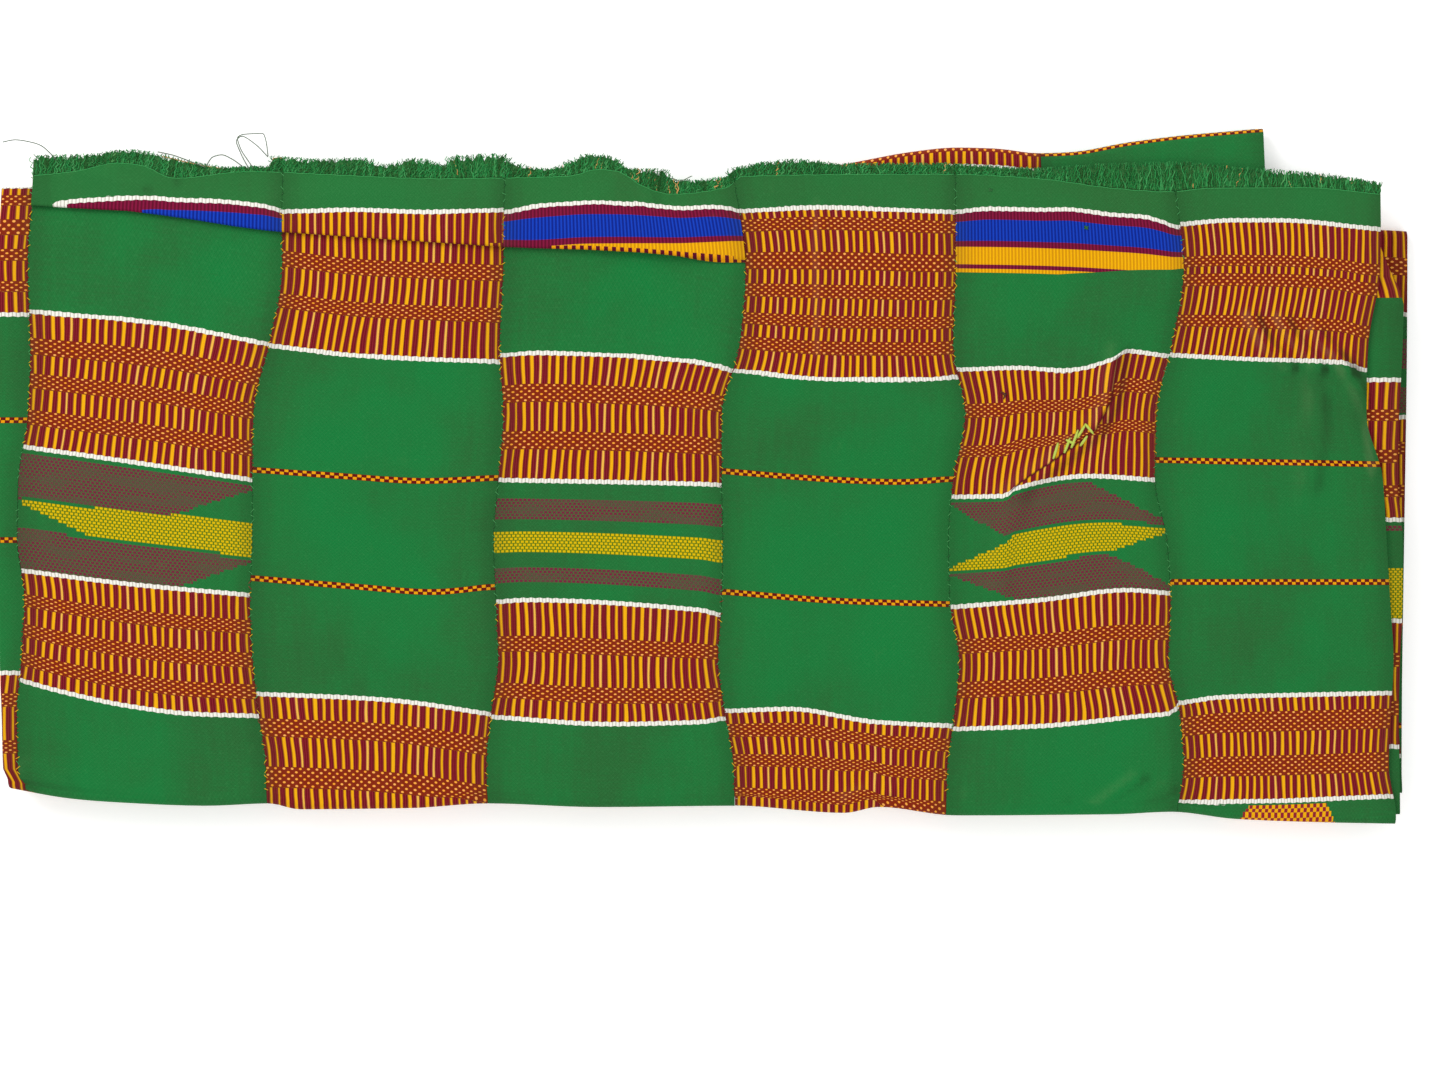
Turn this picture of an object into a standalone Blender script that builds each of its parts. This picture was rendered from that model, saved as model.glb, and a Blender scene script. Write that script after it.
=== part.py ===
"""Folded strip-woven cloth, lying flat on a surface.

Twelve narrow woven strips are sewn edge to edge. The cloth is doubled over at its left side, so that
six face strips lie over five back strips and one strip wraps round that side. The doubled cloth is
then folded back and forth, front to rear, into five layers. The end of the cloth lies on top, at the
rear, where its warp is frayed into a short fringe. A tuck that narrows to the right crosses the first
three face strips below the fringe.

X runs along the folds, Y runs from the front fold to the fringe and Z is up. The cloth rests on Z = 0.
Lengths are in millimetres here, and solid() writes them in metres.
"""

import math
import random

import bmesh
import bpy

MM = 0.001

# The sheets and how they stack. A pair is a face sheet and the back sheet under it.
SHEET = 1.0
SHEET_PITCH = 1.8
HALF_PITCH = SHEET_PITCH / 2
LAYER_PITCH = 2 * SHEET_PITCH
FOLD_RADIUS = LAYER_PITCH / 2
LAYERS = 5
OUTER_REACH = FOLD_RADIUS + HALF_PITCH + SHEET / 2
INNER_SLACK = 3.0
SEAM_GAP = 0.4
FACE, BACK = 1, -1

# The gentle waves of the pile, full at the top and nothing where it rests.
WAVE_HEIGHT = 0.7
WAVE_LENGTH_X = 230.0
WAVE_LENGTH_Y = 260.0
CROSS_WAVE_SHARE = 0.4
CROSS_WAVE_LENGTHS = (170.0, 300.0)
TOP_OF_PILE = LAYERS * LAYER_PITCH

# Past the rear fold of the two lowest layers, the layers above slope down towards the surface.
# Two of them overhang from there to their own rear fold, which is the last tenth of their depth.
SAG_SLOPE = 0.155
OVERHANGING = (2, 3)
OVERHANG_START = 0.9

# Where the segments of each stretch of the pile lie.
TURN_SEGMENTS = 6
RUN_SHARES = {
    2: (0.25, 0.5, 0.75, 1),
    3: (1, 0.75, 0.5, 0.25),
    4: (0.33, 0.67),
    5: (0.67, 0.33, 0),
}

# Lines across the cloth, as (x, y): its frayed ends, its folds from the top down, and its last end.
FACE_END = [
    (-282, 124.5), (-262, 126.5), (-246, 130), (-235, 129), (-222, 123.5), (-190, 126.5), (-152, 125),
    (-112, 123.5), (-57, 124.5), (-45, 127.5), (-35, 126), (-28, 121), (-15, 117), (11, 120.5),
    (13, 124.5), (66, 125.5), (103, 125.5), (139, 123.5), (170, 119.5), (194, 118), (210, 119.5),
    (248, 120), (281, 117),
]
BACK_END = [
    (-295, 120), (-250, 124), (-200, 121), (-100, 121), (-40, 121), (-15, 115), (60, 122),
    (140, 120), (195, 115), (290, 113),
]
FRONT_FOLD = [
    (-291, -130.5), (-265, -135), (-246, -136.5), (-208, -138), (-182, -137), (-170, -139.5),
    (-124, -139), (-91, -137), (-44, -138.5), (11, -138), (58, -141), (72, -138.5), (104, -142),
    (170, -141.5), (194, -140.5), (221, -143.5), (261, -145), (288, -145.5),
]
REAR_FOLD = [
    (-295, 120), (-100, 121), (0, 122.5), (45, 128), (66, 132), (85, 135.5), (105, 137.5), (122, 137),
    (139, 135), (153, 135.5), (176, 139.5), (199, 142.5), (221, 144.5), (232, 145.5),
]
SECOND_FRONT_FOLD = [(-295, -127), (-150, -133), (0, -134.5), (190, -136.5), (292, -137)]
SECOND_REAR_FOLD = [(-295, 104), (0, 106), (200, 105), (286, 103), (294, 102.5)]
TAIL_END = [(-295, -122), (0, -128), (294, -130)]
FOLDS = (FRONT_FOLD, REAR_FOLD, SECOND_FRONT_FOLD, SECOND_REAR_FOLD)

# The seams of the top layer's face, as x at each row of y. The first line is the left fold itself.
SEAM_ROWS = (120, 86, 54, 25, -2, -27, -52, -77, -100, -121, -139)
FACE_LINES = {
    "left_fold": (-294, -295, -295, -295, -295, -295, -295, -294.5, -293.5, -293, -291),
    "wrap_to_1": (-280.5, -282.5, -281.5, -282.5, -286.5, -287, -284, -285, -287, -286.5, -283.5),
    "1_to_2": (-176.5, -176.5, -182, -188.5, -189, -189, -190, -189, -186.5, -183.5, -183),
    "2_to_3": (-84, -84.5, -86, -84.5, -86.5, -88.5, -87.5, -86.5, -89.5, -91.5, -91),
    "3_to_4": (12, 16.5, 14, 6.5, 6.5, 7, 6.5, 5, 8, 11.5, 12),
    "4_to_5": (104, 104, 103, 108, 103, 101, 101.5, 105.5, 103.5, 100.5, 100),
    "5_to_6": (195.5, 199, 194, 187.5, 187, 192, 193.5, 192.5, 197.5, 199, 196.5),
    "right_edge": (281.5, 281, 276, 275, 282, 283.5, 285, 286.5, 285.5, 284.5, 287.5),
}

# The seams of the top layer's back sheet, as x at its frayed end and at the front fold.
BACK_LINES = {
    "wrap_to_1": (-208, -212),
    "1_to_2": (-109, -112),
    "2_to_3": (-11, -12),
    "3_to_4": (86, 89),
    "4_to_5": (182, 189),
}
BACK_END_ROW, BACK_FOLD_ROW = 120, -139
BACK_RIGHT_EDGE = [
    (120, 277), (100, 280), (86, 285), (72, 291), (54, 290.5), (25, 289), (-2, 288.5), (-27, 290.5),
    (-52, 290.5), (-77, 289.5), (-100, 289), (-139, 289.5),
]

# How far the cloth shifts along X by each later fold, as (x at the front fold, shift).
SHIFTS = (
    [(-295, 0), (289, 0)],
    [(-295, -1), (-212, -9), (-112, -20), (-12, -31), (89, -41), (189, -49), (289, -56)],
    [(-295, -1), (289, 2)],
    [(-295, -3), (289, 4.5)],
    [(-295, -2), (289, 2)],
)

# The tuck in the face sheet: its lip, its depth, how far it turns over and the raised end of its flap.
TUCK_LIP = [(-280, 112), (-176, 101.5), (-84, 95.5), (12, 89.5)]
TUCK_DEPTH = [(-280, 8.5), (-176, 6), (-84, 3.5), (-20, 2), (12, 1.2)]
TUCK_TURN = [(-280, 180), (-60, 180), (-30, 150), (-10, 95), (12, 30)]
TUCK_RADIUS = [(-60, 0.68), (-30, 0.75), (-10, 1.0), (12, 2.2)]
TUCK_FLAP_END = [(-280, 2.7), (-176, 2.0), (-84, 1.0), (12, 0.1)]
TUCK_ARC_SEGMENTS = 4
FLAP_PAST_FOOT = 1.5
TUCKED_STRIPS = 3

# The wrap strip's own end, where the tuck begins.
WRAP_END_ROW = 120.0
WRAP_SLOPE_ROW = 104.3
WRAP_ARC_SEGMENTS = 5

# The fringe: a narrow backing along each frayed end, and the locks that stand on it.
FRINGE_GAP = 0.35
BACKING_DEPTH = 1.5
BACKING_THICKNESS = 0.9
FACE_LOCKS = 30
BACK_LOCKS = 12
LOCK_LENGTH = (4.5, 8.0)
LOCK_TIP_WIDTH = 0.35
LOCK_TIP_THICKNESS = 0.3
LOCK_LEAN = 1.1
LOCK_DROOP = (0.1, 0.6)
FRINGE_SEED = 4

GREEN = (0.022, 0.205, 0.062)
DEEP_GREEN = (0.018, 0.165, 0.05)
FRAYED_GREEN = (0.03, 0.17, 0.055)
CLOTH_ROUGHNESS = 0.85


def between(a, b, share):
    return a + (b - a) * share


def ease(share):
    return share * share * (3 - 2 * share)


def along(line, at):
    """The second value of a line of (first, second) points where the first is at."""
    rising = sorted(line)
    at = min(max(at, rising[0][0]), rising[-1][0])
    for (x0, y0), (x1, y1) in zip(rising, rising[1:]):
        if at <= x1:
            return between(y0, y1, (at - x0) / (x1 - x0))
    return rising[-1][1]


def pair_height(layer):
    """The height of the middle of a layer's pair of sheets, above the surface."""
    return (LAYERS - layer) * LAYER_PITCH + HALF_PITCH + SHEET / 2


def wave(x, y):
    turns_x, turns_y = x / WAVE_LENGTH_X, y / WAVE_LENGTH_Y
    cross_turns = x / CROSS_WAVE_LENGTHS[0] + y / CROSS_WAVE_LENGTHS[1]
    main = math.sin(2 * math.pi * turns_x) * math.cos(2 * math.pi * turns_y)
    return WAVE_HEIGHT * (main + CROSS_WAVE_SHARE * math.sin(2 * math.pi * cross_turns))


def sag(x, y):
    return SAG_SLOPE * max(y - along(SECOND_REAR_FOLD, x), 0)


def lifted(x, y, z):
    """A point of the pile, carried by the waves in proportion to its height, and sagged."""
    return (x, y, z + wave(x, y) * z / TOP_OF_PILE - sag(x, y))


def turn_centre(fold, x, offset):
    """The y that a fold turns about. The inner sheet of the pair turns a little short of it."""
    towards = -1 if fold % 2 == 0 else 1
    outward = -towards * offset / HALF_PITCH
    slack = INNER_SLACK * min(max((1 - outward) / 2, 0), 1)
    return along(FOLDS[fold], x) - towards * (OUTER_REACH + slack)


def point_on_turn(fold, angle, x, offset):
    towards = -1 if fold % 2 == 0 else 1
    reach = FOLD_RADIUS - towards * offset
    middle = pair_height(fold + 1) - FOLD_RADIUS
    y = turn_centre(fold, x, offset) + towards * reach * math.sin(angle)
    return lifted(x, y, middle + reach * math.cos(angle))


def front_fold_of(layer):
    """The place in the lists of the fold, or of the last end, that closes a lower layer in front."""
    return layer - 2 if layer % 2 == 0 else layer - 1


def rear_fold_of(layer):
    return layer - 1 if layer % 2 == 0 else layer - 2


def point_on_run(layer, share, x, offset):
    """A point on a lower layer, at a share of the way from its front to its rear.

    The two layers that overhang are measured to the line where they start to slope down. Even
    layers have their face sheet underneath.
    """
    up = 1 if layer % 2 == 1 else -1
    front = along(TAIL_END, x) if layer == LAYERS else turn_centre(front_fold_of(layer), x, offset)
    if layer in OVERHANGING:
        rear = along(SECOND_REAR_FOLD, x)
    else:
        rear = turn_centre(rear_fold_of(layer), x, offset)
    return lifted(x, between(front, rear, share), pair_height(layer) + up * offset)


def point_on_row(y, x, offset):
    return lifted(x, y, pair_height(1) + offset)


def lower_stations():
    """The stations of all that lies below the top layer, as (the x of a line, the point at x)."""
    stations = []
    for layer in range(1, LAYERS + 1):
        stations += [run_station(layer, share) for share in RUN_SHARES.get(layer, ())]
        if layer < LAYERS:
            for step in range(TURN_SEGMENTS + 1):
                stations.append(turn_station(layer - 1, math.pi * step / TURN_SEGMENTS))
    return stations


def run_station(layer, share):
    reach = ease(share * OVERHANG_START if layer in OVERHANGING else share)

    def line_x(x):
        front, rear = SHIFTS[front_fold_of(layer)], SHIFTS[rear_fold_of(layer)]
        return x + between(along(front, x), along(rear, x), reach)

    def place(x, offset):
        return point_on_run(layer, share, x, offset)

    return line_x, place


def turn_station(fold, angle):
    def line_x(x):
        return x + along(SHIFTS[fold], x)

    def place(x, offset):
        return point_on_turn(fold, angle, x, offset)

    return line_x, place


def face_line(name, y):
    return along(list(zip(SEAM_ROWS, FACE_LINES[name])), y)


def back_line(name, y):
    if name == "right_edge":
        return along(BACK_RIGHT_EDGE, y)
    at_end, at_fold = BACK_LINES[name]
    return between(at_fold, at_end, (y - BACK_FOLD_ROW) / (BACK_END_ROW - BACK_FOLD_ROW))


def tuck_section(x):
    """The face sheet's middle from its frayed end to the foot of the tuck.

    Each point is (y, offset from the pair's middle, the way its upper side faces as dy and dz).
    """
    turn = math.radians(along(TUCK_TURN, x))
    radius = along(TUCK_RADIUS, x)
    depth = along(TUCK_DEPTH, x)
    lip = along(TUCK_LIP, x)
    end = along(FACE_END, x)
    rise = 2 * radius * (1 - math.cos(turn)) + depth * math.sin(turn)
    top = HALF_PITCH + rise
    flap = lip + radius
    section = []
    for step in range(TUCK_ARC_SEGMENTS + 1):
        angle = turn * step / TUCK_ARC_SEGMENTS
        facing = (-math.sin(angle), math.cos(angle))
        section.append((flap + radius * facing[0], top - radius + radius * facing[1], *facing))
    back_y = section[-1][0] - depth * math.cos(turn)
    back_n = section[-1][1] - depth * math.sin(turn)
    centre_y = back_y - radius * math.sin(turn)
    centre_n = back_n + radius * math.cos(turn)
    for step in range(TUCK_ARC_SEGMENTS + 1):
        angle = turn * (1 - step / TUCK_ARC_SEGMENTS)
        facing = (-math.sin(angle), math.cos(angle))
        section.append((centre_y - radius * facing[0], centre_n - radius * facing[1], *facing))
    frayed_end = (end, HALF_PITCH + along(TUCK_FLAP_END, x), 0, 1)
    level_end = (max(section[-1][0], flap) + FLAP_PAST_FOOT, top, 0, 1)
    half_way = tuple(between(a, b, 0.5) for a, b in zip(frayed_end, level_end))
    return [frayed_end, half_way, level_end] + section


def tuck_stations():
    """The stations of a tucked face strip, from its frayed end to the foot of the tuck."""

    def station(index):
        def row_of(x):
            return tuck_section(x)[index][0]

        def place(x, offset):
            y, middle, facing_y, facing_z = tuck_section(x)[index]
            out = offset - HALF_PITCH
            return point_on_row(y + out * facing_y, x, middle + out * facing_z)

        return row_of, place

    def foot(x):
        return tuck_section(x)[-1][0]

    count = len(tuck_section(0))
    slope = line_station(lambda x: min(along(SECOND_REAR_FOLD, x), foot(x) - 1))
    return [station(index) for index in range(count)] + [slope]


def line_station(row_of):
    """A station of the top layer along a line, whose y depends on x."""

    def place(x, offset):
        return point_on_row(row_of(x), x, offset)

    return row_of, place


def row_station(y):
    return line_station(lambda x: y)


def end_stations(line):
    """The stations of an end that isn't tucked: the end itself, and where the slope starts."""
    return [line_station(lambda x: along(line, x)), line_station(lambda x: along(SECOND_REAR_FOLD, x))]


def strip_rows(side, left, right, spans, top_stations):
    """The upper and lower points of a strip, across it, at each station along it."""
    line = face_line if side == FACE else back_line
    middle = side * HALF_PITCH
    rows = []

    def add(x_left, x_right, place):
        xs = [
            between(x_left + SEAM_GAP / 2, x_right - SEAM_GAP / 2, step / spans)
            for step in range(spans + 1)
        ]
        rows.append(
            (
                [place(x, middle + SHEET / 2) for x in xs],
                [place(x, middle - SHEET / 2) for x in xs],
            )
        )

    for row_of, place in top_stations:
        x_left = line(left, row_of(line(left, SEAM_ROWS[0])))
        x_right = line(right, row_of(line(right, SEAM_ROWS[0])))
        add(x_left, x_right, place)
    fold_left, fold_right = line(left, SEAM_ROWS[-1]), line(right, SEAM_ROWS[-1])
    for line_x, place in lower_stations():
        add(line_x(fold_left), line_x(fold_right), place)
    return rows


def wrap_rows():
    """The outer and inner points of the wrap strip, round the left fold, at each station along it."""
    rows = []

    def add(x_face, x_fold, x_back, place):
        sides = []
        for reach in (HALF_PITCH + SHEET / 2, HALF_PITCH - SHEET / 2):
            centre = x_fold + HALF_PITCH + SHEET / 2
            profile = [(x_face - SEAM_GAP / 2, reach)]
            for step in range(WRAP_ARC_SEGMENTS + 1):
                angle = math.pi * step / WRAP_ARC_SEGMENTS
                profile.append((centre - reach * math.sin(angle), reach * math.cos(angle)))
            profile.append((between(centre, x_back, 0.5), -reach))
            profile.append((x_back - SEAM_GAP / 2, -reach))
            sides.append([place(x, offset) for x, offset in profile])
        rows.append(tuple(sides))

    for y in (WRAP_END_ROW, WRAP_SLOPE_ROW, *SEAM_ROWS[1:-1]):
        place = row_station(y)[1]
        add(face_line("wrap_to_1", y), face_line("left_fold", y), back_line("wrap_to_1", y), place)
    ends = [
        face_line("wrap_to_1", SEAM_ROWS[-1]),
        face_line("left_fold", SEAM_ROWS[-1]),
        back_line("wrap_to_1", SEAM_ROWS[-1]),
    ]
    for line_x, place in lower_stations():
        add(*[line_x(x) for x in ends], place)
    return rows


def cloth_material(name, colour):
    material = bpy.data.materials.new(name)
    material.use_nodes = True
    shader = material.node_tree.nodes["Principled BSDF"]
    shader.inputs["Base Color"].default_value = (*colour, 1)
    shader.inputs["Roughness"].default_value = CLOTH_ROUGHNESS
    shader.inputs["Metallic"].default_value = 0
    return material


def solid(name, mesh, material):
    """An object in metres from a bmesh in millimetres, closed and facing outwards."""
    bmesh.ops.scale(mesh, vec=(MM, MM, MM), verts=mesh.verts)
    bmesh.ops.recalc_face_normals(mesh, faces=mesh.faces)
    data = bpy.data.meshes.new(name)
    mesh.to_mesh(data)
    mesh.free()
    data.materials.append(material)
    piece = bpy.data.objects.new(name, data)
    bpy.context.scene.collection.objects.link(piece)
    data.shade_smooth()
    data.set_sharp_from_angle(angle=math.radians(50))
    return piece


def sheet_solid(name, rows, material):
    """A sheet from rows of (outer points, inner points), closed along both sides and both ends."""
    mesh = bmesh.new()
    rings = []
    for outer, inner in rows:
        ring = [mesh.verts.new(point) for point in outer]
        ring += [mesh.verts.new(point) for point in reversed(inner)]
        rings.append(ring)
    around = len(rings[0])
    for ring, after in zip(rings, rings[1:]):
        for i in range(around):
            j = (i + 1) % around
            mesh.faces.new((ring[i], ring[j], after[j], after[i]))
    for ring in (rings[0], rings[-1]):
        for i in range(around // 2 - 1):
            mesh.faces.new((ring[i], ring[i + 1], ring[around - 2 - i], ring[around - 1 - i]))
    return solid(name, mesh, material)


def fringe_solid(name, end_row, locks, random_lock, material):
    """A narrow backing along a strip's end, with tapered locks side by side along its far side."""
    upper, lower = end_row
    edge = [tuple(between(a, b, 0.5) for a, b in zip(high, low)) for high, low in zip(upper, lower)]
    mesh = bmesh.new()
    stations = []
    for step in range(locks + 1):
        x = between(edge[0][0], edge[-1][0], step / locks)
        y = along([(point[0], point[1]) for point in edge], x) + FRINGE_GAP
        z = along([(point[0], point[2]) for point in edge], x)
        half = BACKING_THICKNESS / 2
        corners = ((y, z - half), (y, z + half), (y + BACKING_DEPTH, z + half), (y + BACKING_DEPTH, z - half))
        stations.append([mesh.verts.new((x, *corner)) for corner in corners])
    for station, after in zip(stations, stations[1:]):
        for i in (0, 1, 3):
            j = (i + 1) % 4
            mesh.faces.new((station[i], station[j], after[j], after[i]))
        add_lock(mesh, (station[3], station[2], after[2], after[3]), random_lock)
    for end in (stations[0], stations[-1]):
        mesh.faces.new(end)
    return solid(name, mesh, material)


def add_lock(mesh, root, random_lock):
    """A four-sided lock that narrows from its root, low and high on the left and on the right."""
    root_x = (root[0].co.x + root[3].co.x) / 2
    root_y = (root[0].co.y + root[3].co.y) / 2
    x = root_x + random_lock.uniform(-LOCK_LEAN, LOCK_LEAN)
    y = root_y + random_lock.uniform(*LOCK_LENGTH)
    z = (root[0].co.z + root[1].co.z) / 2 - random_lock.uniform(*LOCK_DROOP)
    z -= sag(root_x, y) - sag(root_x, root_y)
    wide, high = LOCK_TIP_WIDTH / 2, LOCK_TIP_THICKNESS / 2
    tip = [
        mesh.verts.new((x + side * wide, y, z + up * high))
        for side, up in ((-1, -1), (-1, 1), (1, 1), (1, -1))
    ]
    for i in range(4):
        j = (i + 1) % 4
        mesh.faces.new((root[i], root[j], tip[j], tip[i]))
    mesh.faces.new(tip)


def make_face_strips(random_lock):
    names = list(FACE_LINES)[1:]
    rows_below = [row_station(y) for y in SEAM_ROWS[1:-1]]
    for number, (left, right) in enumerate(zip(names, names[1:]), start=1):
        tucked = number <= TUCKED_STRIPS
        top = tuck_stations() if tucked else end_stations(FACE_END)
        spans = 5 if number == TUCKED_STRIPS else 3
        rows = strip_rows(FACE, left, right, spans, top + rows_below)
        sheet_solid(f"face_strip_{number}", rows, cloth_material(f"face_weave_{number}", GREEN))
        fringe_solid(
            f"face_fringe_{number}", rows[0], FACE_LOCKS, random_lock,
            cloth_material(f"face_fray_{number}", FRAYED_GREEN),
        )


def make_back_strips(random_lock):
    names = [*BACK_LINES, "right_edge"]
    rows_below = [row_station(y) for y in (86, 54, -2, -52, -100)]
    for number, (left, right) in enumerate(zip(names, names[1:]), start=1):
        rows = strip_rows(BACK, left, right, 2, end_stations(BACK_END) + rows_below)
        sheet_solid(f"back_strip_{number}", rows, cloth_material(f"back_weave_{number}", DEEP_GREEN))
        fringe_solid(
            f"back_fringe_{number}", rows[0], BACK_LOCKS, random_lock,
            cloth_material(f"back_fray_{number}", FRAYED_GREEN),
        )


def main():
    for leftover in list(bpy.data.objects):
        bpy.data.objects.remove(leftover)
    random_lock = random.Random(FRINGE_SEED)
    sheet_solid("wrap_strip", wrap_rows(), cloth_material("wrap_weave", GREEN))
    make_face_strips(random_lock)
    make_back_strips(random_lock)


main()
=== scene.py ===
import math
import random

import bmesh
import bpy
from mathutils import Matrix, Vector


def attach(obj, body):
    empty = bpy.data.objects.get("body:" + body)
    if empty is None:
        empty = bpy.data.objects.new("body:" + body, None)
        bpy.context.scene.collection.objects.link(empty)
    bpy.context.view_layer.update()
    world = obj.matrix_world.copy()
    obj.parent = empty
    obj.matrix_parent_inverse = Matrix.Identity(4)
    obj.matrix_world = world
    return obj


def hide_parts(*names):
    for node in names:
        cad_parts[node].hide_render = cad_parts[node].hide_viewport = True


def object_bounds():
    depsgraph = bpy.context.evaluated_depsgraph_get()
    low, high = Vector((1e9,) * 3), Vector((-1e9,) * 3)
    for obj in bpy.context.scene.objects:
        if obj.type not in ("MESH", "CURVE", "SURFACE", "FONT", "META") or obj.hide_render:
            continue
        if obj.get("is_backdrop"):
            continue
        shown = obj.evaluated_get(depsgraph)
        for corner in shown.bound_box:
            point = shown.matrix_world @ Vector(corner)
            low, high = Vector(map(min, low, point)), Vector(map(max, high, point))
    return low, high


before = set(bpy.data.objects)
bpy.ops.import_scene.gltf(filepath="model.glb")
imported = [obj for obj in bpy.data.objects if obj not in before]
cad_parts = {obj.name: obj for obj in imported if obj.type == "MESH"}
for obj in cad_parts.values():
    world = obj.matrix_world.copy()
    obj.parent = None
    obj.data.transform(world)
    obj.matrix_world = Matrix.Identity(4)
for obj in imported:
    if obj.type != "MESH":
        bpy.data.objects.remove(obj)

bl_info = {
    "name": "Folded kente cloth",
    "version": (1, 0, 0),
    "blender": (4, 5, 0),
    "location": "3D View > Sidebar > Kente",
    "description": "Dresses a folded strip-woven cloth with its weave, fringe and stitches",
    "category": "Object",
}

MM = 0.001
CAD_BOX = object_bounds()

# The photograph's scale and its origin in the part's frame, and the camera above the cloth's top.
PIXELS_PER_MM = 2.4
PHOTO_ORIGIN = (706, 475)
PHOTO_SIZE = (1445, 1084)
CAMERA_HEIGHT = 1.8
CLOTH_TOP = 0.0165
SENSOR_WIDTH = 36

# The sheets and their folds, in millimetres, as the solids have them.
SHEET = 1.0
HALF_PITCH = 0.9
LAYER_PITCH = 3.6
FOLD_RADIUS = 1.8
LAYERS = 5
TOP_OF_PILE = LAYERS * LAYER_PITCH
OUTER_REACH = FOLD_RADIUS + HALF_PITCH + SHEET / 2
INNER_SLACK = 3.0
SEAM_GAP = 0.12
FACE, BACK = 1, -1
WAVE_HEIGHT = 0.7
WAVE_LENGTHS = (230.0, 260.0)
CROSS_WAVE_SHARE = 0.4
CROSS_WAVE_LENGTHS = (170.0, 300.0)
RIPPLE_HEIGHT = 0.28
RIPPLES = ((9.5, 1.6, 31.0), (12.5, 1.9, 27.0))
RIPPLE_START = 0.7
SAG_SLOPE = 0.155
SAG_EASE = 4.0
OVERHANGING = (2, 3)
OVERHANG_START = 0.9
TURN_STEPS = 8
RUN_STEP = 15.0
RUN_LENGTH = 240.0
ROW_STEP = 2.2
BACK_ROW_STEP = 2.6 * ROW_STEP
WRAP_ROW_STEP = 1.6 * ROW_STEP
PATTERN_ROW = 50.0
LONGEST_PATTERN_ROW = 200.0
LEAST_ROWS = 0.004
STRETCH_UNIT = 100.0
SHARP_ANGLE = 60

FACE_END = [
    (-282, 124.5), (-262, 126.5), (-246, 130), (-235, 129), (-222, 123.5), (-190, 126.5), (-152, 125),
    (-112, 123.5), (-57, 124.5), (-45, 127.5), (-35, 126), (-28, 121), (-15, 117), (11, 120.5),
    (13, 124.5), (66, 125.5), (103, 125.5), (139, 123.5), (170, 119.5), (194, 118), (210, 119.5),
    (248, 120), (281, 117),
]
BACK_END = [
    (-295, 120), (-250, 124), (-200, 121), (-100, 121), (-40, 121), (-15, 115), (60, 122),
    (140, 120), (195, 115), (290, 113),
]
FRONT_FOLD = [
    (-291, -130.5), (-265, -135), (-246, -136.5), (-208, -138), (-182, -137), (-170, -139.5),
    (-124, -139), (-91, -137), (-44, -138.5), (11, -138), (58, -141), (72, -138.5), (104, -142),
    (170, -141.5), (194, -140.5), (221, -143.5), (261, -145), (288, -145.5),
]
REAR_FOLD = [
    (-295, 120), (-100, 121), (0, 122.5), (45, 128), (66, 132), (85, 135.5), (105, 137.5), (122, 137),
    (139, 135), (153, 135.5), (176, 139.5), (199, 142.5), (221, 144.5), (232, 145.5),
]
SECOND_FRONT_FOLD = [(-295, -127), (-150, -133), (0, -134.5), (190, -136.5), (292, -137)]
SECOND_REAR_FOLD = [(-295, 104), (0, 106), (200, 105), (286, 103), (294, 102.5)]
TAIL_END = [(-295, -122), (0, -128), (294, -130)]
FOLDS = (FRONT_FOLD, REAR_FOLD, SECOND_FRONT_FOLD, SECOND_REAR_FOLD)
SEAM_ROWS = (120, 86, 54, 25, -2, -27, -52, -77, -100, -121, -139)
FACE_LINES = {
    "left_fold": (-294, -295, -295, -295, -295, -295, -295, -294.5, -293.5, -293, -291),
    "wrap_to_1": (-280.5, -282.5, -281.5, -282.5, -286.5, -287, -284, -285, -287, -286.5, -283.5),
    "1_to_2": (-176.5, -176.5, -182, -188.5, -189, -189, -190, -189, -186.5, -183.5, -183),
    "2_to_3": (-84, -84.5, -86, -84.5, -86.5, -88.5, -87.5, -86.5, -89.5, -91.5, -91),
    "3_to_4": (12, 16.5, 14, 6.5, 6.5, 7, 6.5, 5, 8, 11.5, 12),
    "4_to_5": (104, 104, 103, 108, 103, 101, 101.5, 105.5, 103.5, 100.5, 100),
    "5_to_6": (195.5, 199, 194, 187.5, 187, 192, 193.5, 192.5, 197.5, 199, 196.5),
    "right_edge": (281.5, 281, 276, 275, 282, 283.5, 285, 286.5, 285.5, 284.5, 287.5),
}
BACK_LINES = {
    "wrap_to_1": (-208, -212),
    "1_to_2": (-109, -112),
    "2_to_3": (-11, -12),
    "3_to_4": (86, 89),
    "4_to_5": (182, 189),
}
BACK_END_ROW, BACK_FOLD_ROW = 120, -139
# The last strip's edge turns under at the rear, where its pattern stays as wide as this.
LEAST_WIDTHS = {"back_5": 104.5}
LEAST_WIDTH_FROM = 60
BACK_RIGHT_EDGE = [
    (120, 277), (100, 280), (86, 285), (72, 291), (54, 290.5), (25, 289), (-2, 288.5), (-27, 290.5),
    (-52, 290.5), (-77, 289.5), (-100, 289), (-139, 289.5),
]
SHIFTS = (
    [(-295, 0), (289, 0)],
    [(-295, -1), (-212, -9), (-112, -20), (-12, -31), (89, -41), (189, -49), (289, -56)],
    [(-295, -1), (289, 2)],
    [(-295, -3), (289, 4.5)],
    [(-295, -2), (289, 2)],
)
TUCK_LIP = [
    (-280, 112.6), (-272, 112.1), (-255, 111.1), (-241, 110.4), (-226, 108.5), (-212, 106.5),
    (-198, 104.2), (-184, 102.3), (-176, 101.5), (-84, 95.3), (-71, 94.8), (-49, 94.1),
    (-27, 92.9), (-15, 91.8), (12, 88.9),
]
TUCK_DEPTH = [(-280, 8.5), (-176, 6), (-84, 3.5), (-20, 2), (12, 1.2)]
TUCK_TURN = [(-280, 180), (-60, 180), (-30, 150), (-10, 95), (12, 30)]
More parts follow.
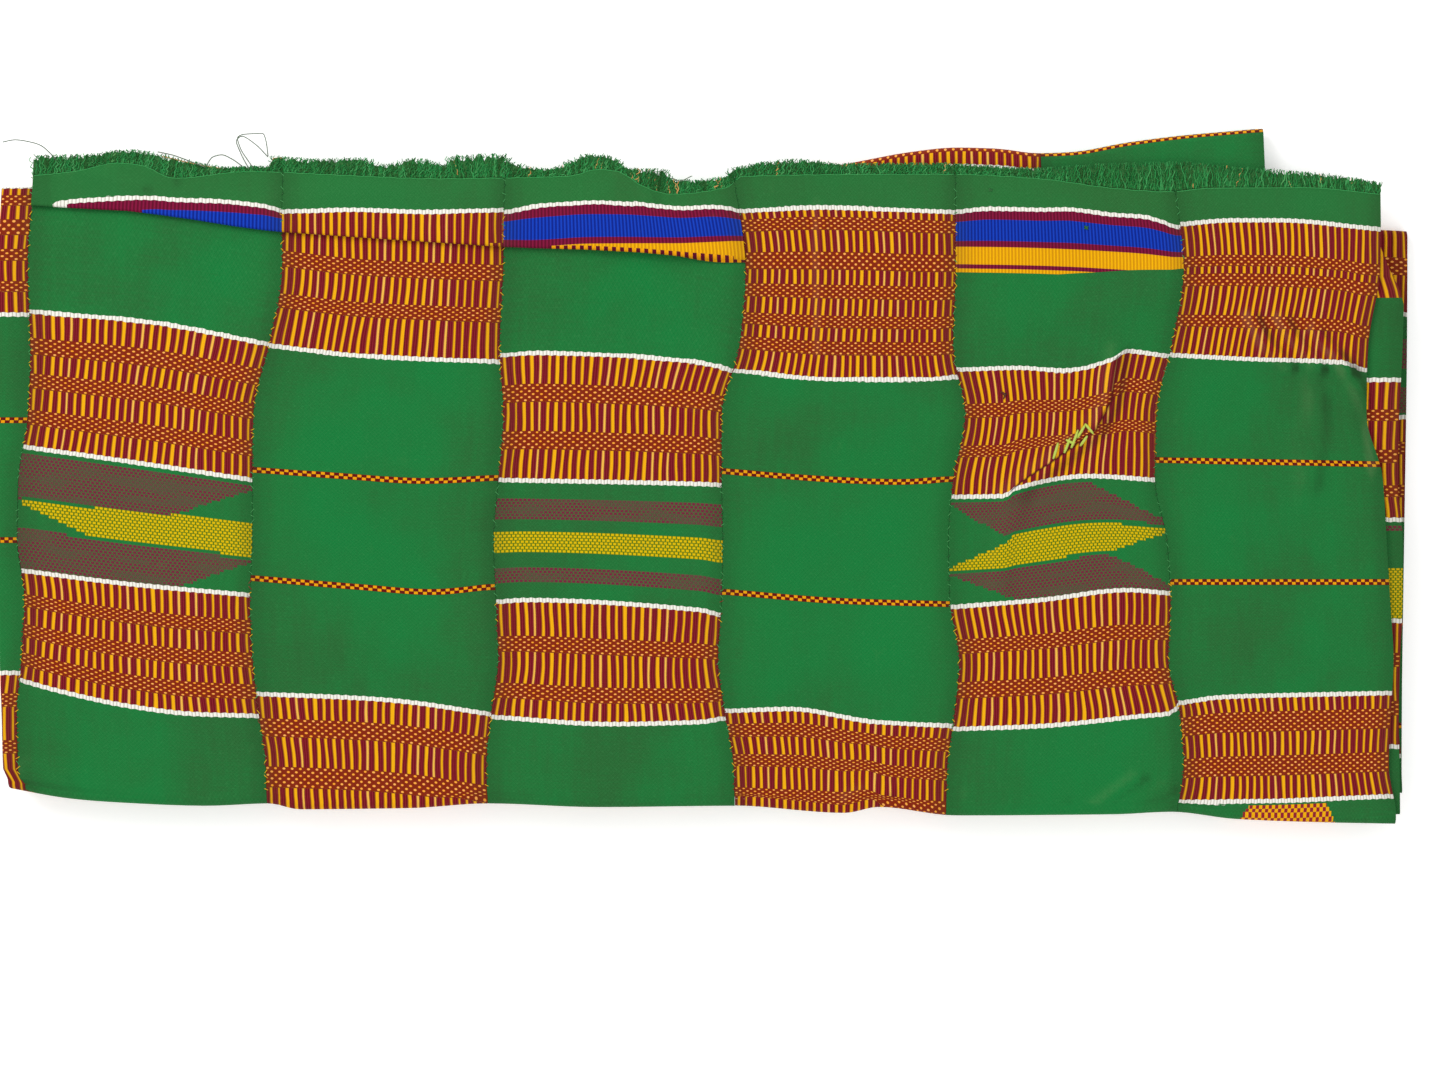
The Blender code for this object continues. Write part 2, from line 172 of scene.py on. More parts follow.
TUCK_RADIUS = [(-60, 0.68), (-30, 0.75), (-10, 1.0), (12, 2.2)]
TUCK_FLAP_END = [(-280, 2.7), (-176, 2.0), (-84, 1.0), (12, 0.1)]
TUCK_STEPS = 7
FLAP_STEPS = 6
FLAP_PAST_FOOT = 1.5
FLAP_POINTS = FLAP_STEPS + 2
TUCK_POINTS = FLAP_POINTS + 2 * (TUCK_STEPS + 1)
# The even rows of the top layer start here, and a few rows lead from the strip's end to them.
EVEN_ROWS_START = 112.0
TUCKED_ROWS_START = 86.0
APPROACH_STEPS = {FACE: 5, BACK: 3}
FOLD_SAMPLE_Y = -128
WRAP_END_ROW = 120.0
WRAP_ARC_STEPS = 8
WRAP_BACK_STEPS = 12
WRAP_MIDDLE = -290
# A sheet's parts on the bake map, each with its start and its width across the map.
ISLANDS = {
    "top": (0.01, 0.6), "lower": (0.63, 0.16), "under": (0.81, 0.13), "left": (0.95, 0.012),
    "right": (0.968, 0.012), "first": (0.984, 0.005), "last": (0.993, 0.005),
}
ISLAND_START, ISLAND_HEIGHT = 0.01, 0.98

# Where the woven lines cross each strip of the face, as a count of pattern rows and points in the
# photograph. The first line is the one under the plain end, and the rows grow towards the front.
WOVEN_LINES = {
    "wrap": {
        0: [(0, 186)], 1: [(0, 313), (28, 318)], 2: [(0, 420)], 3: [(0, 540)],
        4: [(0, 666), (20, 680)], 5: [(0, 796), (25, 788)],
    },
    "face_1": {
        0: [
            (30, 240), (44, 222), (52, 207), (57, 203.5), (65, 202), (77, 200), (114, 198.4),
            (145, 198), (156, 197.4), (168, 199), (209, 201), (232, 202.4), (252, 204.5),
            (266, 206.5), (280, 211),
        ],
        0.4: [(30, 292), (53, 276), (156, 267), (189, 261), (249, 262), (266, 259), (280, 257)],
        1: [(30, 312), (147, 322), (266, 344)],
        2: [(25, 447), (138, 463), (252, 480)],
        3: [(25, 571), (129, 584), (250, 595)],
        4: [(21, 680), (60, 691), (129, 706), (195, 714), (259, 716)],
    },
    "face_2": {
        0: [(282, 212), (360, 210), (432, 212), (504, 210)],
        1: [(271, 346), (360, 356), (418, 359), (501, 362)],
        2: [(255, 470), (340, 476), (425, 481), (494, 478)],
        3: [(252, 578), (360, 587), (432, 592), (489, 587)],
        4: [(259, 694), (360, 698), (409, 702), (490, 714)],
    },
    "face_3": {
        0: [
            (506, 212.5), (529, 207.4), (550, 205), (589, 202.6), (625, 203.2), (655, 205.6),
            (682, 208), (712, 206.4), (730, 208.6), (741, 211.5),
        ],
        0.241: [(505, 245.6), (535, 247), (589, 244.5), (670, 244), (741, 241)],
        0.4: [(505, 272), (589, 271), (670, 270), (741, 268)],
        1: [(502, 356), (535, 353), (620, 356), (700, 363), (733, 371)],
        2: [(498, 480), (700, 484), (721, 485)],
        3: [(496, 602), (524, 600), (700, 610), (719, 615)],
        4: [(494, 717), (611, 724), (700, 722), (724, 718)],
    },
    "face_4": {
        0: [(742, 211), (818, 207), (953, 212)],
        1: [(735, 371), (841, 380), (921, 380), (957, 377)],
        2: [(721, 471), (841, 480), (896, 482), (951, 479)],
        3: [(727, 592), (841, 601), (946, 604)],
        4: [(727, 711), (790, 709), (875, 722), (953, 726)],
        5: [(733, 811), (790, 815), (840, 816), (868, 811), (885, 820), (953, 826)],
    },
    "face_5": {
        0: [
            (957, 212), (973, 209.8), (987, 208.4), (1011, 208.8), (1042, 209.8), (1066, 209.1),
            (1088, 211.5), (1111, 214.4), (1134, 216), (1145, 217), (1164, 222.6), (1174, 227),
        ],
        0.241: [(957, 246.6), (1011, 247.5), (1072, 249.6), (1103, 251.3), (1134, 253.2), (1172, 257)],
        0.4: [(957, 272.3), (1011, 273.2), (1072, 275), (1103, 276.8), (1134, 279), (1172, 283)],
        1: [(959, 370), (1020, 368), (1063, 371), (1116, 358), (1124, 351), (1166, 356)],
        2: [(951, 497), (1006, 496), (1014, 489), (1088, 476), (1155, 480)],
        3: [(951, 607), (1040, 600), (1128, 590), (1166, 593)],
        4: [(955, 729), (1040, 726), (1142, 716), (1172, 713), (1177, 705)],
    },
    "face_6": {
        0: [(1174, 225), (1237, 220), (1275, 220), (1378, 229)],
        1: [(1168, 355), (1264, 360), (1343, 363), (1361, 370)],
        2: [(1155, 460), (1264, 462), (1372, 464)],
        3: [(1168, 582), (1383, 582)],
        4: [(1180, 703), (1223, 697), (1393, 693)],
        5: [(1177, 802), (1264, 801), (1391, 796)],
    },
    "back": {0: [(0, 299)], 1: [(0, 378)], 2: [(0, 521)], 3: [(0, 620)], 4: [(0, 747)]},
}
# Where the loose threads of the face's frayed ends reach to in the photograph.
FRINGE_TIPS = [
    (29, 155), (80, 154), (129, 149), (161, 154), (207, 164), (252, 169), (269, 166), (273, 155),
    (310, 158), (360, 157), (386, 164), (413, 157), (447, 164), (451, 155), (501, 153), (514, 163),
    (547, 168), (592, 153), (615, 157), (627, 168), (661, 168), (673, 179), (690, 179), (728, 175),
    (733, 167), (802, 158), (841, 162), (932, 162), (1040, 167), (1100, 163), (1183, 161),
    (1240, 166), (1318, 172), (1380, 181),
]
# Rows of pattern at the later folds and at the tail.
FOLD_ROWS = {"back_4": (10.155, 15.9, 20.9, 26.0), "back_5": (11.02, 16.34, 21.8, 27.0)}
FOLD_ROWS_ADDED = (5.6, 11.2, 16.1, 21.3)
# Millimetres to a pattern row just below the tuck, where the woven end is folded away.
ROW_BELOW_TUCK = {"face_1": 90.0, "face_2": 66.0, "face_3": 90.0}

# Dot bands in each figured row, as shares of the row.
DOT_BANDS = {
    "wrap": {0: (0.07, 0.15, 0.26, 0.38, 0.49, 0.58, 0.74, 0.82), 4: (0.17, 0.28, 0.56, 0.67)},
    "face_1": {1: (0.19, 0.31, 0.45, 0.56, 0.72, 0.83), 3: (0.21, 0.32, 0.48, 0.6, 0.74, 0.86)},
    "face_2": {0: (0.39, 0.49, 0.66, 0.75), 4: (0.2, 0.35, 0.6, 0.77)},
    "face_3": {1: (0.24, 0.38, 0.61, 0.75), 3: (0.3, 0.43, 0.7, 0.83)},
    "face_4": {
        0: (0.056, 0.13, 0.26, 0.36, 0.45, 0.53, 0.63, 0.7, 0.78, 0.855),
        4: (0.13, 0.26, 0.43, 0.55, 0.76, 0.89),
    },
    "face_5": {1: (0.27, 0.38, 0.6, 0.69), 3: (0.27, 0.39, 0.62, 0.75)},
    "face_6": {0: (0.25, 0.33, 0.385, 0.475, 0.69, 0.775), 4: (0.15, 0.34, 0.57, 0.76)},
    "back_4": {0: (0.1, 0.2, 0.4, 0.5, 0.7, 0.8), 4: (0.115, 0.23, 0.4, 0.52, 0.7, 0.82)},
    "back_5": {
        -1: (0.3, 0.4), 1: (0.22, 0.3, 0.5, 0.59, 0.75, 0.83), 3: (0.26, 0.37, 0.64, 0.75),
        21: (0.38, 0.55),
    },
}
PLAIN_DOT_BANDS = (0.22, 0.34, 0.64, 0.76)
# Rows of dots in the bands of a figured row, where there aren't six.
USUAL_DOT_ROWS = 6.0
DOT_ROWS = {"wrap": {0: 4}, "face_4": {0: 5}, "face_6": {0: 4, 4: 7}, "back_4": {4: 4}, "back_5": {1: 4}}
# The torn and mended line of the fifth strip, as (share of the row, share across the strip).
MEND_LINE = [(0, 0.76), (0.35, 0.76), (0.58, 0.69), (0.85, 0.47), (1, 0.29)]
MEND_JUMP = 0.06
# The woven end's stripes, as shares of a pattern row, and where the fifth strip's is cut short, as
# (share across the strip, row).
BLUE_BAND = (0.07, 0.203)
YELLOW_BAND = (0.241, 0.35)
YELLOW_LINE_START = 0.376
BAND_END = 0.4
CUT_BAND_ENDS = {
    "face_5": [(0, 0.4), (0.45, 0.4), (0.6, 0.379), (0.74, 0.353), (0.95, 0.32), (1, 0.312)],
}
# Where the thin checked line along the third strip's lip starts, as (share across the strip, row).
LIP_CHECKS = [(0, 0.27), (0.12, 0.234), (0.36, 0.253), (0.58, 0.272), (0.71, 0.29), (1, 0.337)]
# Pale stitches of the mend, each from one pixel of the photograph to another.
MEND_STITCHES = (
    ((1053, 459), (1058, 443)), ((1064, 453), (1070, 438)), ((1071, 448), (1078, 430)),
    ((1077, 438), (1085, 425)), ((1085, 424), (1093, 434)), ((1066, 440), (1074, 444)),
    ((1080, 446), (1087, 436)),
)
MEND_STITCH_RADII = (0.42, 0.52, 0.58, 0.56, 0.58, 0.56, 0.5, 0.36)
# A knot's place in the photograph, and its loops and their radii in millimetres.
KNOT_PIXEL = (1004, 394)
KNOT_LOOPS = (
    (-1.4, 0.7, 0.0), (-0.5, 0.4, 0.45), (0.2, -0.5, 0.6), (0.6, 0.2, 0.5), (0.1, -1.2, 0.3),
    (-0.2, -2.2, 0.0),
)
KNOT_RADII = (0.3, 0.5, 0.6, 0.5, 0.35, 0.2)
SMALL_KNOT_PIXELS = ((991, 190), (1086, 228))
SMALL_KNOT_ARMS = ((0.9, 0.5), (0.8, -0.7), (-0.3, 0.9))
SMALL_KNOT_RADII = (0.2, 0.3, 0.3, 0.3, 0.2)
# Loose threads beyond the frayed end: pixels of the photograph, and heights in millimetres.
LOOSE_THREADS = (
    ((1, 141, 12.0), (14, 139, 13.0), (38, 144, 15.0), (50, 153, 16.5), (56, 160, 16.8)),
    ((158, 152, 17.5), (172, 155, 17.6), (197, 164, 16.8), (205, 167, 16.2)),
    ((206, 166, 16.5), (213, 157, 17.0), (222, 155, 17.4), (232, 159, 17.0), (242, 166, 16.2)),
    ((253, 168, 16.0), (240, 148, 15.2), (237, 138, 15.0), (243, 134, 15.0), (262, 133, 15.2),
     (266, 142, 15.4), (268, 156, 16.2)),
    ((268, 157, 16.5), (255, 144, 15.6), (242, 136, 15.2), (236, 141, 15.0), (241, 154, 15.8),
     (249, 169, 16.3)),
    ((672, 178, 17.2), (680, 181, 17.4), (692, 176, 17.0)),
)
LOOSE_THREAD_TONES = (0.2, 0.5, 0.3, 0.6, 0.4, 1.0)
LOOSE_THREAD_RADIUS = 0.23
# The fringes: steps of the backing, of the weft along the roots and of a thread, the backing's
# heights at its roots and tips, and the ranges that a thread's measures are drawn from.
BACKING_STEPS = 110
ROOT_STEPS = 60
STRAND_STEPS = 10
BACKING_ROOT_HEIGHTS = (0.3, -0.4)
BACKING_TIP_HEIGHTS = (-0.05, -0.3)
BACKING_SHARES = (0.72, 0.97)
BACK_FRINGE_REACH = 5.5
LEAST_FRINGE_REACH = 2.5
STRAIGHTER_FROM, STRAIGHTER_OVER = 120, 50
THREAD_LEAN = (-0.35, 0.35)
THREAD_CURL = (0.25, 0.75)
THREAD_PACE = (1.5, 3.1)
THREAD_LEVEL = (-0.15, 0.85)
THREAD_DROOP = (0.5, 0.9)
THREAD_RADIUS = (0.18, 0.3)
THREAD_TAPER = 0.4
GREEN_TONES = (0.05, 0.97)
# The backing takes the darkest green of the ramp, painted shade between the fringe's threads.
BACKING_TONE, ROOT_TONE, PEACH_TONE = 0.02, 0.88, 0.995
PEACH_LINE_FROM = -228
# The stitches of a seam: ranges of slant and reach, their radius and height, and where they end.
STITCH_SLANT = (0.3, 0.9)
STITCH_REACH = (0.45, 0.85)
STITCH_SPACING = (0.7, 1.5)
STITCH_RADIUS = 0.15
STITCH_HEIGHT = 0.22
STITCHES_END = -133
# The share of peach threads in the fringe of each strip.
PEACH_SHARE = {2: 0.006, 3: 0.035, 4: 0.006, 6: 0.02}

# Shapes in the middle row of a figured group: upper block, lens and lower block, each with its top
# and bottom edge as (share across the strip, share of the row).
MOTIFS = {
    "face_1": (
        ([(0, 0.03)], [(0, 0.4), (0.65, 0.38), (1, 0.07)]),
        ([(0, 0.425), (0.65, 0.375), (1, 0.35)], [(0, 0.44), (0.29, 0.63), (1, 0.655)]),
        ([(0, 0.64), (0.29, 0.655), (1, 0.68)], [(0, 1), (0.65, 1), (1, 0.7)]),
    ),
    "face_5": (
        ([(0, 0.03), (0.66, 0.03), (1, 0.34)], [(0, 0.07), (0.24, 0.35), (0.66, 0.36), (1, 0.38)]),
        (
            [(0, 0.63), (0.3, 0.39), (0.66, 0.385), (1, 0.42)],
            [(0, 0.65), (0.33, 0.66), (0.74, 0.64), (1, 0.45)],
        ),
        ([(0, 0.68), (0.33, 0.685), (0.72, 0.67), (1, 0.92)], [(0, 0.7), (0.3, 0.97), (1, 1)]),
    ),
    # The last strip of the back shows only the end of each shape.
    "back_5": (
        ([(0, 0.03)], [(0, 0.4), (0.6, 0.36), (0.9, 0.075)]),
        ([(0, 0.6), (0.6, 0.45)], [(0, 0.62), (0.6, 0.975)]),
        ([(0, 0.66), (0.5, 0.98)], [(0, 0.99)]),
    ),
}
PLAIN_MOTIF = (
    ([(0, 0.14)], [(0, 0.31)]),
    ([(0, 0.42)], [(0, 0.58), (1, 0.6)]),
    ([(0, 0.7)], [(0, 0.85)]),
)

CREASE_SCALE = 1.5
CREASE_REACH = 2.5
LIGHT_STEP = (1.2, 0.4)
CREASE_CONTRAST = 0.4
# The dip along a seam with its width, and the shoulder beside it with its distance and width.
SEAM_DIP = (-0.22, 1.3)
SEAM_SHOULDER = (0.3, 4.5, 3.0)
DEEPEST_RELIEF = -0.3
RELIEF_FROM, RELIEF_OVER = -138, 9
# Pairs of bars, bricks of the blocks and checks across a strip, and their rows in a pattern row.
PAIRS_OF_BARS = {"face_4": 28.0, "face_6": 28.0}
USUAL_PAIRS = 27.0
RIBS_PER_PAIR = 2.5
BRICKS_ACROSS, BRICK_ROWS = 52.0, 40.0
CHECKS_ACROSS, CHECK_ROWS = 34.0, 30.0
LINE_CHECKS_ACROSS = 54.0
LIP_CHECKS_ACROSS = 30.0
# Half widths in millimetres of a white line, a checked line and the checks in it.
WHITE_LINE, CHECK_LINE, CHECKS_IN_LINE = 0.92, 1.25, 1.1
# The pattern rows repeat after this many, and bars stand in these for odd strips and even ones.
PATTERN_CYCLE = 6
FIGURED_ROWS = {True: (1, 3), False: (0, 4)}
# Soft creases of the top sheet: points in the photograph, height and width in millimetres.
CREASES = (
    ([(1118, 352), (1112, 400), (1095, 430), (1050, 465), (1008, 495)], 0.9, 4.4),
    ([(1132, 360), (1126, 402), (1108, 438), (1062, 476)], -0.25, 3.6),
    ([(1020, 500), (1004, 540), (1000, 590)], 0.45, 5.0),
    ([(1252, 318), (1266, 344), (1290, 366)], 1.4, 3.2),
    ([(1282, 320), (1296, 342), (1320, 366)], 1.3, 3.2),
    ([(1316, 332), (1330, 350), (1348, 370)], 1.1, 3.2),
    ([(1336, 356), (1352, 376), (1368, 410), (1378, 470)], 1.0, 3.6),
    ([(1310, 372), (1320, 420), (1312, 480)], 0.6, 4.5),
    ([(1378, 392), (1362, 430), (1366, 478)], -0.28, 3.0),
    ([(1318, 400), (1300, 440), (1306, 500)], 0.4, 5.0),
    ([(812, 205), (811, 260), (813, 352)], -0.45, 3.2),
    ([(820, 205), (820, 260), (821, 352)], 0.5, 3.2),
    ([(78, 170), (108, 177), (142, 188)], 0.7, 3.2),
    ([(115, 163), (145, 168), (172, 179)], 0.6, 3.2),
    ([(622, 169), (636, 180), (652, 197)], 0.6, 3.2),
    ([(280, 200), (360, 192), (430, 194), (500, 188)], 0.4, 5.0),
    ([(22, 770), (36, 778), (52, 792)], 0.8, 3.2),
    ([(34, 764), (60, 778), (72, 796)], 0.55, 3.6),
    ([(1098, 808), (1116, 794), (1138, 778)], 0.9, 3.6),
    ([(1120, 812), (1142, 798), (1168, 788)], 0.7, 3.6),
    ([(970, 796), (1010, 803), (1060, 801)], 0.5, 3.6),
    ([(850, 800), (866, 792), (884, 797)], 0.9, 3.6),
    ([(60, 330), (120, 356), (190, 372), (262, 372)], 0.5, 9.0),
    ([(40, 640), (110, 668), (200, 690)], 0.4, 9.0),
    ([(520, 300), (600, 288), (700, 300)], 0.5, 12.0),
    ([(530, 560), (620, 540), (700, 556)], 0.35, 12.0),
    ([(760, 440), (840, 420), (930, 436)], 0.5, 10.0),
    ([(750, 650), (850, 670), (940, 652)], 0.4, 11.0),
    ([(270, 430), (360, 415), (480, 426)], 0.45, 10.0),
    ([(290, 640), (380, 650), (470, 640)], 0.4, 10.0),
    ([(980, 330), (1040, 318), (1100, 310), (1160, 296)], 0.5, 8.0),
    ([(980, 770), (1080, 752), (1160, 758)], 0.4, 9.0),
    ([(1200, 520), (1280, 540), (1370, 524)], 0.45, 10.0),
    ([(1190, 650), (1280, 640), (1380, 656)], 0.4, 10.0),
)


def between(a, b, share):
    return a + (b - a) * share


def ease(share):
    share = min(max(share, 0), 1)
    return share * share * (3 - 2 * share)


def along(line, at):
    """The second value of a line of rising (first, second) points, where the first is at."""
    if at <= line[0][0]:
        return line[0][1]
    for (x0, y0), (x1, y1) in zip(line, line[1:]):
        if at <= x1:
            return between(y0, y1, (at - x0) / (x1 - x0))
    return line[-1][1]


def rounded(line, step=3.0):
    """The same line with its corners rounded, as closer points."""
    slopes = [(b[1] - a[1]) / (b[0] - a[0]) for a, b in zip(line, line[1:])]
    tangents = [slopes[0]]
    for before, after in zip(slopes, slopes[1:]):
        tangents.append(0 if before * after <= 0 else 2 * before * after / (before + after))
    tangents.append(slopes[-1])
    finer = []
    for i, ((x0, y0), (x1, y1)) in enumerate(zip(line, line[1:])):
        count = max(round((x1 - x0) / step), 1)
        for k in range(count):
            t = k / count
            width = x1 - x0
            value = (1 + 2 * t) * (1 - t) ** 2 * y0 + t * (1 - t) ** 2 * width * tangents[i]
            value += t * t * (3 - 2 * t) * y1 - t * t * (1 - t) * width * tangents[i + 1]
            finer.append((x0 + t * width, value))
    return finer + [line[-1]]


FOLDS = tuple(rounded(line) for line in FOLDS)
ROUNDED_FACE_END = rounded(FACE_END)
ROUNDED_BACK_END = rounded(BACK_END)
ROUNDED_TAIL = rounded(TAIL_END)
ROUNDED_SEAMS = {
    name: rounded(sorted(zip(SEAM_ROWS, places))) for name, places in FACE_LINES.items()
}
ROUNDED_BACK_EDGE = rounded(sorted(BACK_RIGHT_EDGE))


def photo_x(pixel):
    return (pixel - PHOTO_ORIGIN[0]) / PIXELS_PER_MM


def photo_y(pixel):
    return (PHOTO_ORIGIN[1] - pixel) / PIXELS_PER_MM


def photo_line(points):
    """A line of (x, y) in millimetres from points in the photograph, rounded."""
    line = [(photo_x(x), photo_y(y)) for x, y in points]
    return rounded(line) if len(line) > 1 else line


LINES = {
    strip: sorted((count, photo_line(points)) for count, points in lines.items())
    for strip, lines in WOVEN_LINES.items()
}
TIPS = photo_line(FRINGE_TIPS)
CREASE_PATHS = [
    ([(photo_x(x), photo_y(y)) for x, y in points], height, width) for points, height, width in CREASES
]


def pair_height(layer):
    return (LAYERS - layer) * LAYER_PITCH + HALF_PITCH + SHEET / 2


def wave(x, y):
    turns_x, turns_y = x / WAVE_LENGTHS[0], y / WAVE_LENGTHS[1]
    cross_turns = x / CROSS_WAVE_LENGTHS[0] + y / CROSS_WAVE_LENGTHS[1]
    main = math.sin(2 * math.pi * turns_x) * math.cos(2 * math.pi * turns_y)
    return WAVE_HEIGHT * (main + CROSS_WAVE_SHARE * math.sin(2 * math.pi * cross_turns))


def ripple(x, y):
    """A finer wave, that all the layers share."""
    (length_x, bend_x, sway_y), (length_y, bend_y, sway_x) = RIPPLES
    first = math.sin(x / length_x + bend_x * math.sin(y / sway_y))
    second = math.sin(y / length_y + bend_y * math.sin(x / sway_x) + RIPPLE_START)
    return RIPPLE_HEIGHT * (first + second)


def sag(x, y):
    past = y - along(FOLDS[3], x)
    return SAG_SLOPE * (math.hypot(past, SAG_EASE) + past) / 2


def lifted(x, y, z):
    """A point of the pile, carried by the waves in proportion to its height, and sagged."""
    return (x, y, z + (wave(x, y) + ripple(x, y)) * z / TOP_OF_PILE - sag(x, y))


def distance_to(path, x, y):
    nearest = 1e9
    for (x0, y0), (x1, y1) in zip(path, path[1:]):
        dx, dy = x1 - x0, y1 - y0
        share = min(max(((x - x0) * dx + (y - y0) * dy) / (dx * dx + dy * dy), 0), 1)
        nearest = min(nearest, math.hypot(x - x0 - share * dx, y - y0 - share * dy))
    return nearest


def crease_height(x, y):
    height = 0
    for path, own_height, width in CREASE_PATHS:
        low_x = min(point[0] for point in path) - CREASE_REACH * width
        high_x = max(point[0] for point in path) + CREASE_REACH * width
        if not low_x < x < high_x:
            continue
        reach = distance_to(path, x, y) / width
        if reach < CREASE_REACH:
            height += CREASE_SCALE * own_height * math.exp(-reach * reach)
    return height


def relief(x, y, edge_distance):
    """The top sheet's own creases and the dip along its seams."""
    depth, width = SEAM_DIP
    dip = depth * math.exp(-((edge_distance / width) ** 2))
    height, middle, width = SEAM_SHOULDER
    shoulder = height * math.exp(-(((edge_distance - middle) / width) ** 2))
    raised = max(crease_height(x, y) + dip + shoulder, DEEPEST_RELIEF)
    return raised * ease((y - RELIEF_FROM) / RELIEF_OVER)


def crease_tone(x, y):
    """From 0 on a crease's side away from the light to 1 on its side towards it."""
    dx, dy = LIGHT_STEP
    slope = crease_height(x + dx, y - dy) - crease_height(x - dx, y + dy)
    return min(max(0.5 + CREASE_CONTRAST * slope, 0), 1)


def turn_centre(fold, x, offset):
    towards = -1 if fold % 2 == 0 else 1
    outward = -towards * offset / HALF_PITCH
    slack = INNER_SLACK * min(max((1 - outward) / 2, 0), 1)
    return along(FOLDS[fold], x) - towards * (OUTER_REACH + slack)


def point_on_turn(fold, angle, x, offset):
    towards = -1 if fold % 2 == 0 else 1
    reach = FOLD_RADIUS - towards * offset
    middle = pair_height(fold + 1) - FOLD_RADIUS
    y = turn_centre(fold, x, offset) + towards * reach * math.sin(angle)
    return lifted(x, y, middle + reach * math.cos(angle))


def front_fold_of(layer):
    return layer - 2 if layer % 2 == 0 else layer - 1


def rear_fold_of(layer):
    return layer - 1 if layer % 2 == 0 else layer - 2


def point_on_run(layer, share, x, offset):
    up = 1 if layer % 2 == 1 else -1
    if layer == LAYERS:
        front = along(ROUNDED_TAIL, x)
    else:
        front = turn_centre(front_fold_of(layer), x, offset)
    rear = turn_centre(rear_fold_of(layer), x, offset)
    if layer not in OVERHANGING:
        y = between(front, rear, share)
    elif share < OVERHANG_START:
        y = between(front, along(FOLDS[3], x), share / OVERHANG_START)
    else:
        y = between(along(FOLDS[3], x), rear, (share - OVERHANG_START) / (1 - OVERHANG_START))
    return lifted(x, y, pair_height(layer) + up * offset)


def face_line(name, y):
    return along(ROUNDED_SEAMS[name], y)


def back_line(name, y):
    if name == "right_edge":
        return along(ROUNDED_BACK_EDGE, y)
    at_end, at_fold = BACK_LINES[name]
    return between(at_fold, at_end, (y - BACK_FOLD_ROW) / (BACK_END_ROW - BACK_FOLD_ROW))


def tuck_section(x):
    """The face sheet's middle from its frayed end to the foot of the tuck.

    Each point is (y, offset from the pair's middle, the way its upper side faces as dy and dz).
    """
    turn = math.radians(along(TUCK_TURN, x))
    radius = along(TUCK_RADIUS, x)
    depth = along(TUCK_DEPTH, x)
    lip = along(TUCK_LIP, x)
    end = along(ROUNDED_FACE_END, x)
    rise = 2 * radius * (1 - math.cos(turn)) + depth * math.sin(turn)
    top = HALF_PITCH + rise
    flap = lip + radius

    def arc(centre_y, centre_n, way, angles):
        for angle in angles:
            dy, dn = -math.sin(angle), math.cos(angle)
            yield centre_y + way * radius * dy, centre_n + way * radius * dn, dy, dn

    angles = [turn * step / TUCK_STEPS for step in range(TUCK_STEPS + 1)]
    section = list(arc(flap, top - radius, 1, angles))
    back_y = section[-1][0] - depth * math.cos(turn)
    back_n = section[-1][1] - depth * math.sin(turn)
    centre_y = back_y - radius * math.sin(turn)
    centre_n = back_n + radius * math.cos(turn)
    section += arc(centre_y, centre_n, -1, reversed(angles))
    frayed_end = (end, HALF_PITCH + along(TUCK_FLAP_END, x), 0, 1)
    level_end = (max(section[-1][0], flap) + FLAP_PAST_FOOT, top, 0, 1)
    flap_points = [
        tuple(between(a, b, step / FLAP_STEPS) for a, b in zip(frayed_end, level_end))
        for step in range(FLAP_STEPS + 1)
    ]
    return flap_points + [(between(level_end[0], flap, 0.5), top, 0, 1)] + section


def woven_row(strip, x, y):
    """How many rows of the pattern lie between the first woven line and this point of the top."""
    lines = LINES[strip]
    marks = [(count, along(line, x)) for count, line in lines]
    if y >= marks[0][1]:
        return (marks[0][1] - y) / PATTERN_ROW
    for (count, mark), (next_count, next_mark) in zip(marks, marks[1:]):
        if y >= next_mark:
            return between(count, next_count, (mark - y) / (mark - next_mark))
    return marks[-1][0] + (marks[-1][1] - y) / PATTERN_ROW


def woven_row_below_tuck(strip, x, y):
    mark = along(dict(LINES[strip])[1], x)
    if y <= mark:
        return woven_row(strip, x, y)
    return 1 - (y - mark) / ROW_BELOW_TUCK[strip]


class Grid:
    """The upper and lower points of a strip, row by row, with the pattern row at each point."""

    def __init__(self, strip, offset, spans):
        self.strip = strip
        self.offset = offset
        self.spans = spans
        self.outer = []
        self.inner = []
        self.woven = []
        self.across = []
        self.top_rows = 0

    def add(self, xs, place, woven, least_width=0):
        self.outer.append([place(x, self.offset + SHEET / 2) for x in xs])
        self.inner.append([place(x, self.offset - SHEET / 2) for x in xs])
        self.woven.append([woven(x) for x in xs])
        width = max(xs[-1] - xs[0], least_width)
        self.across.append([(x - xs[0]) / width for x in xs])


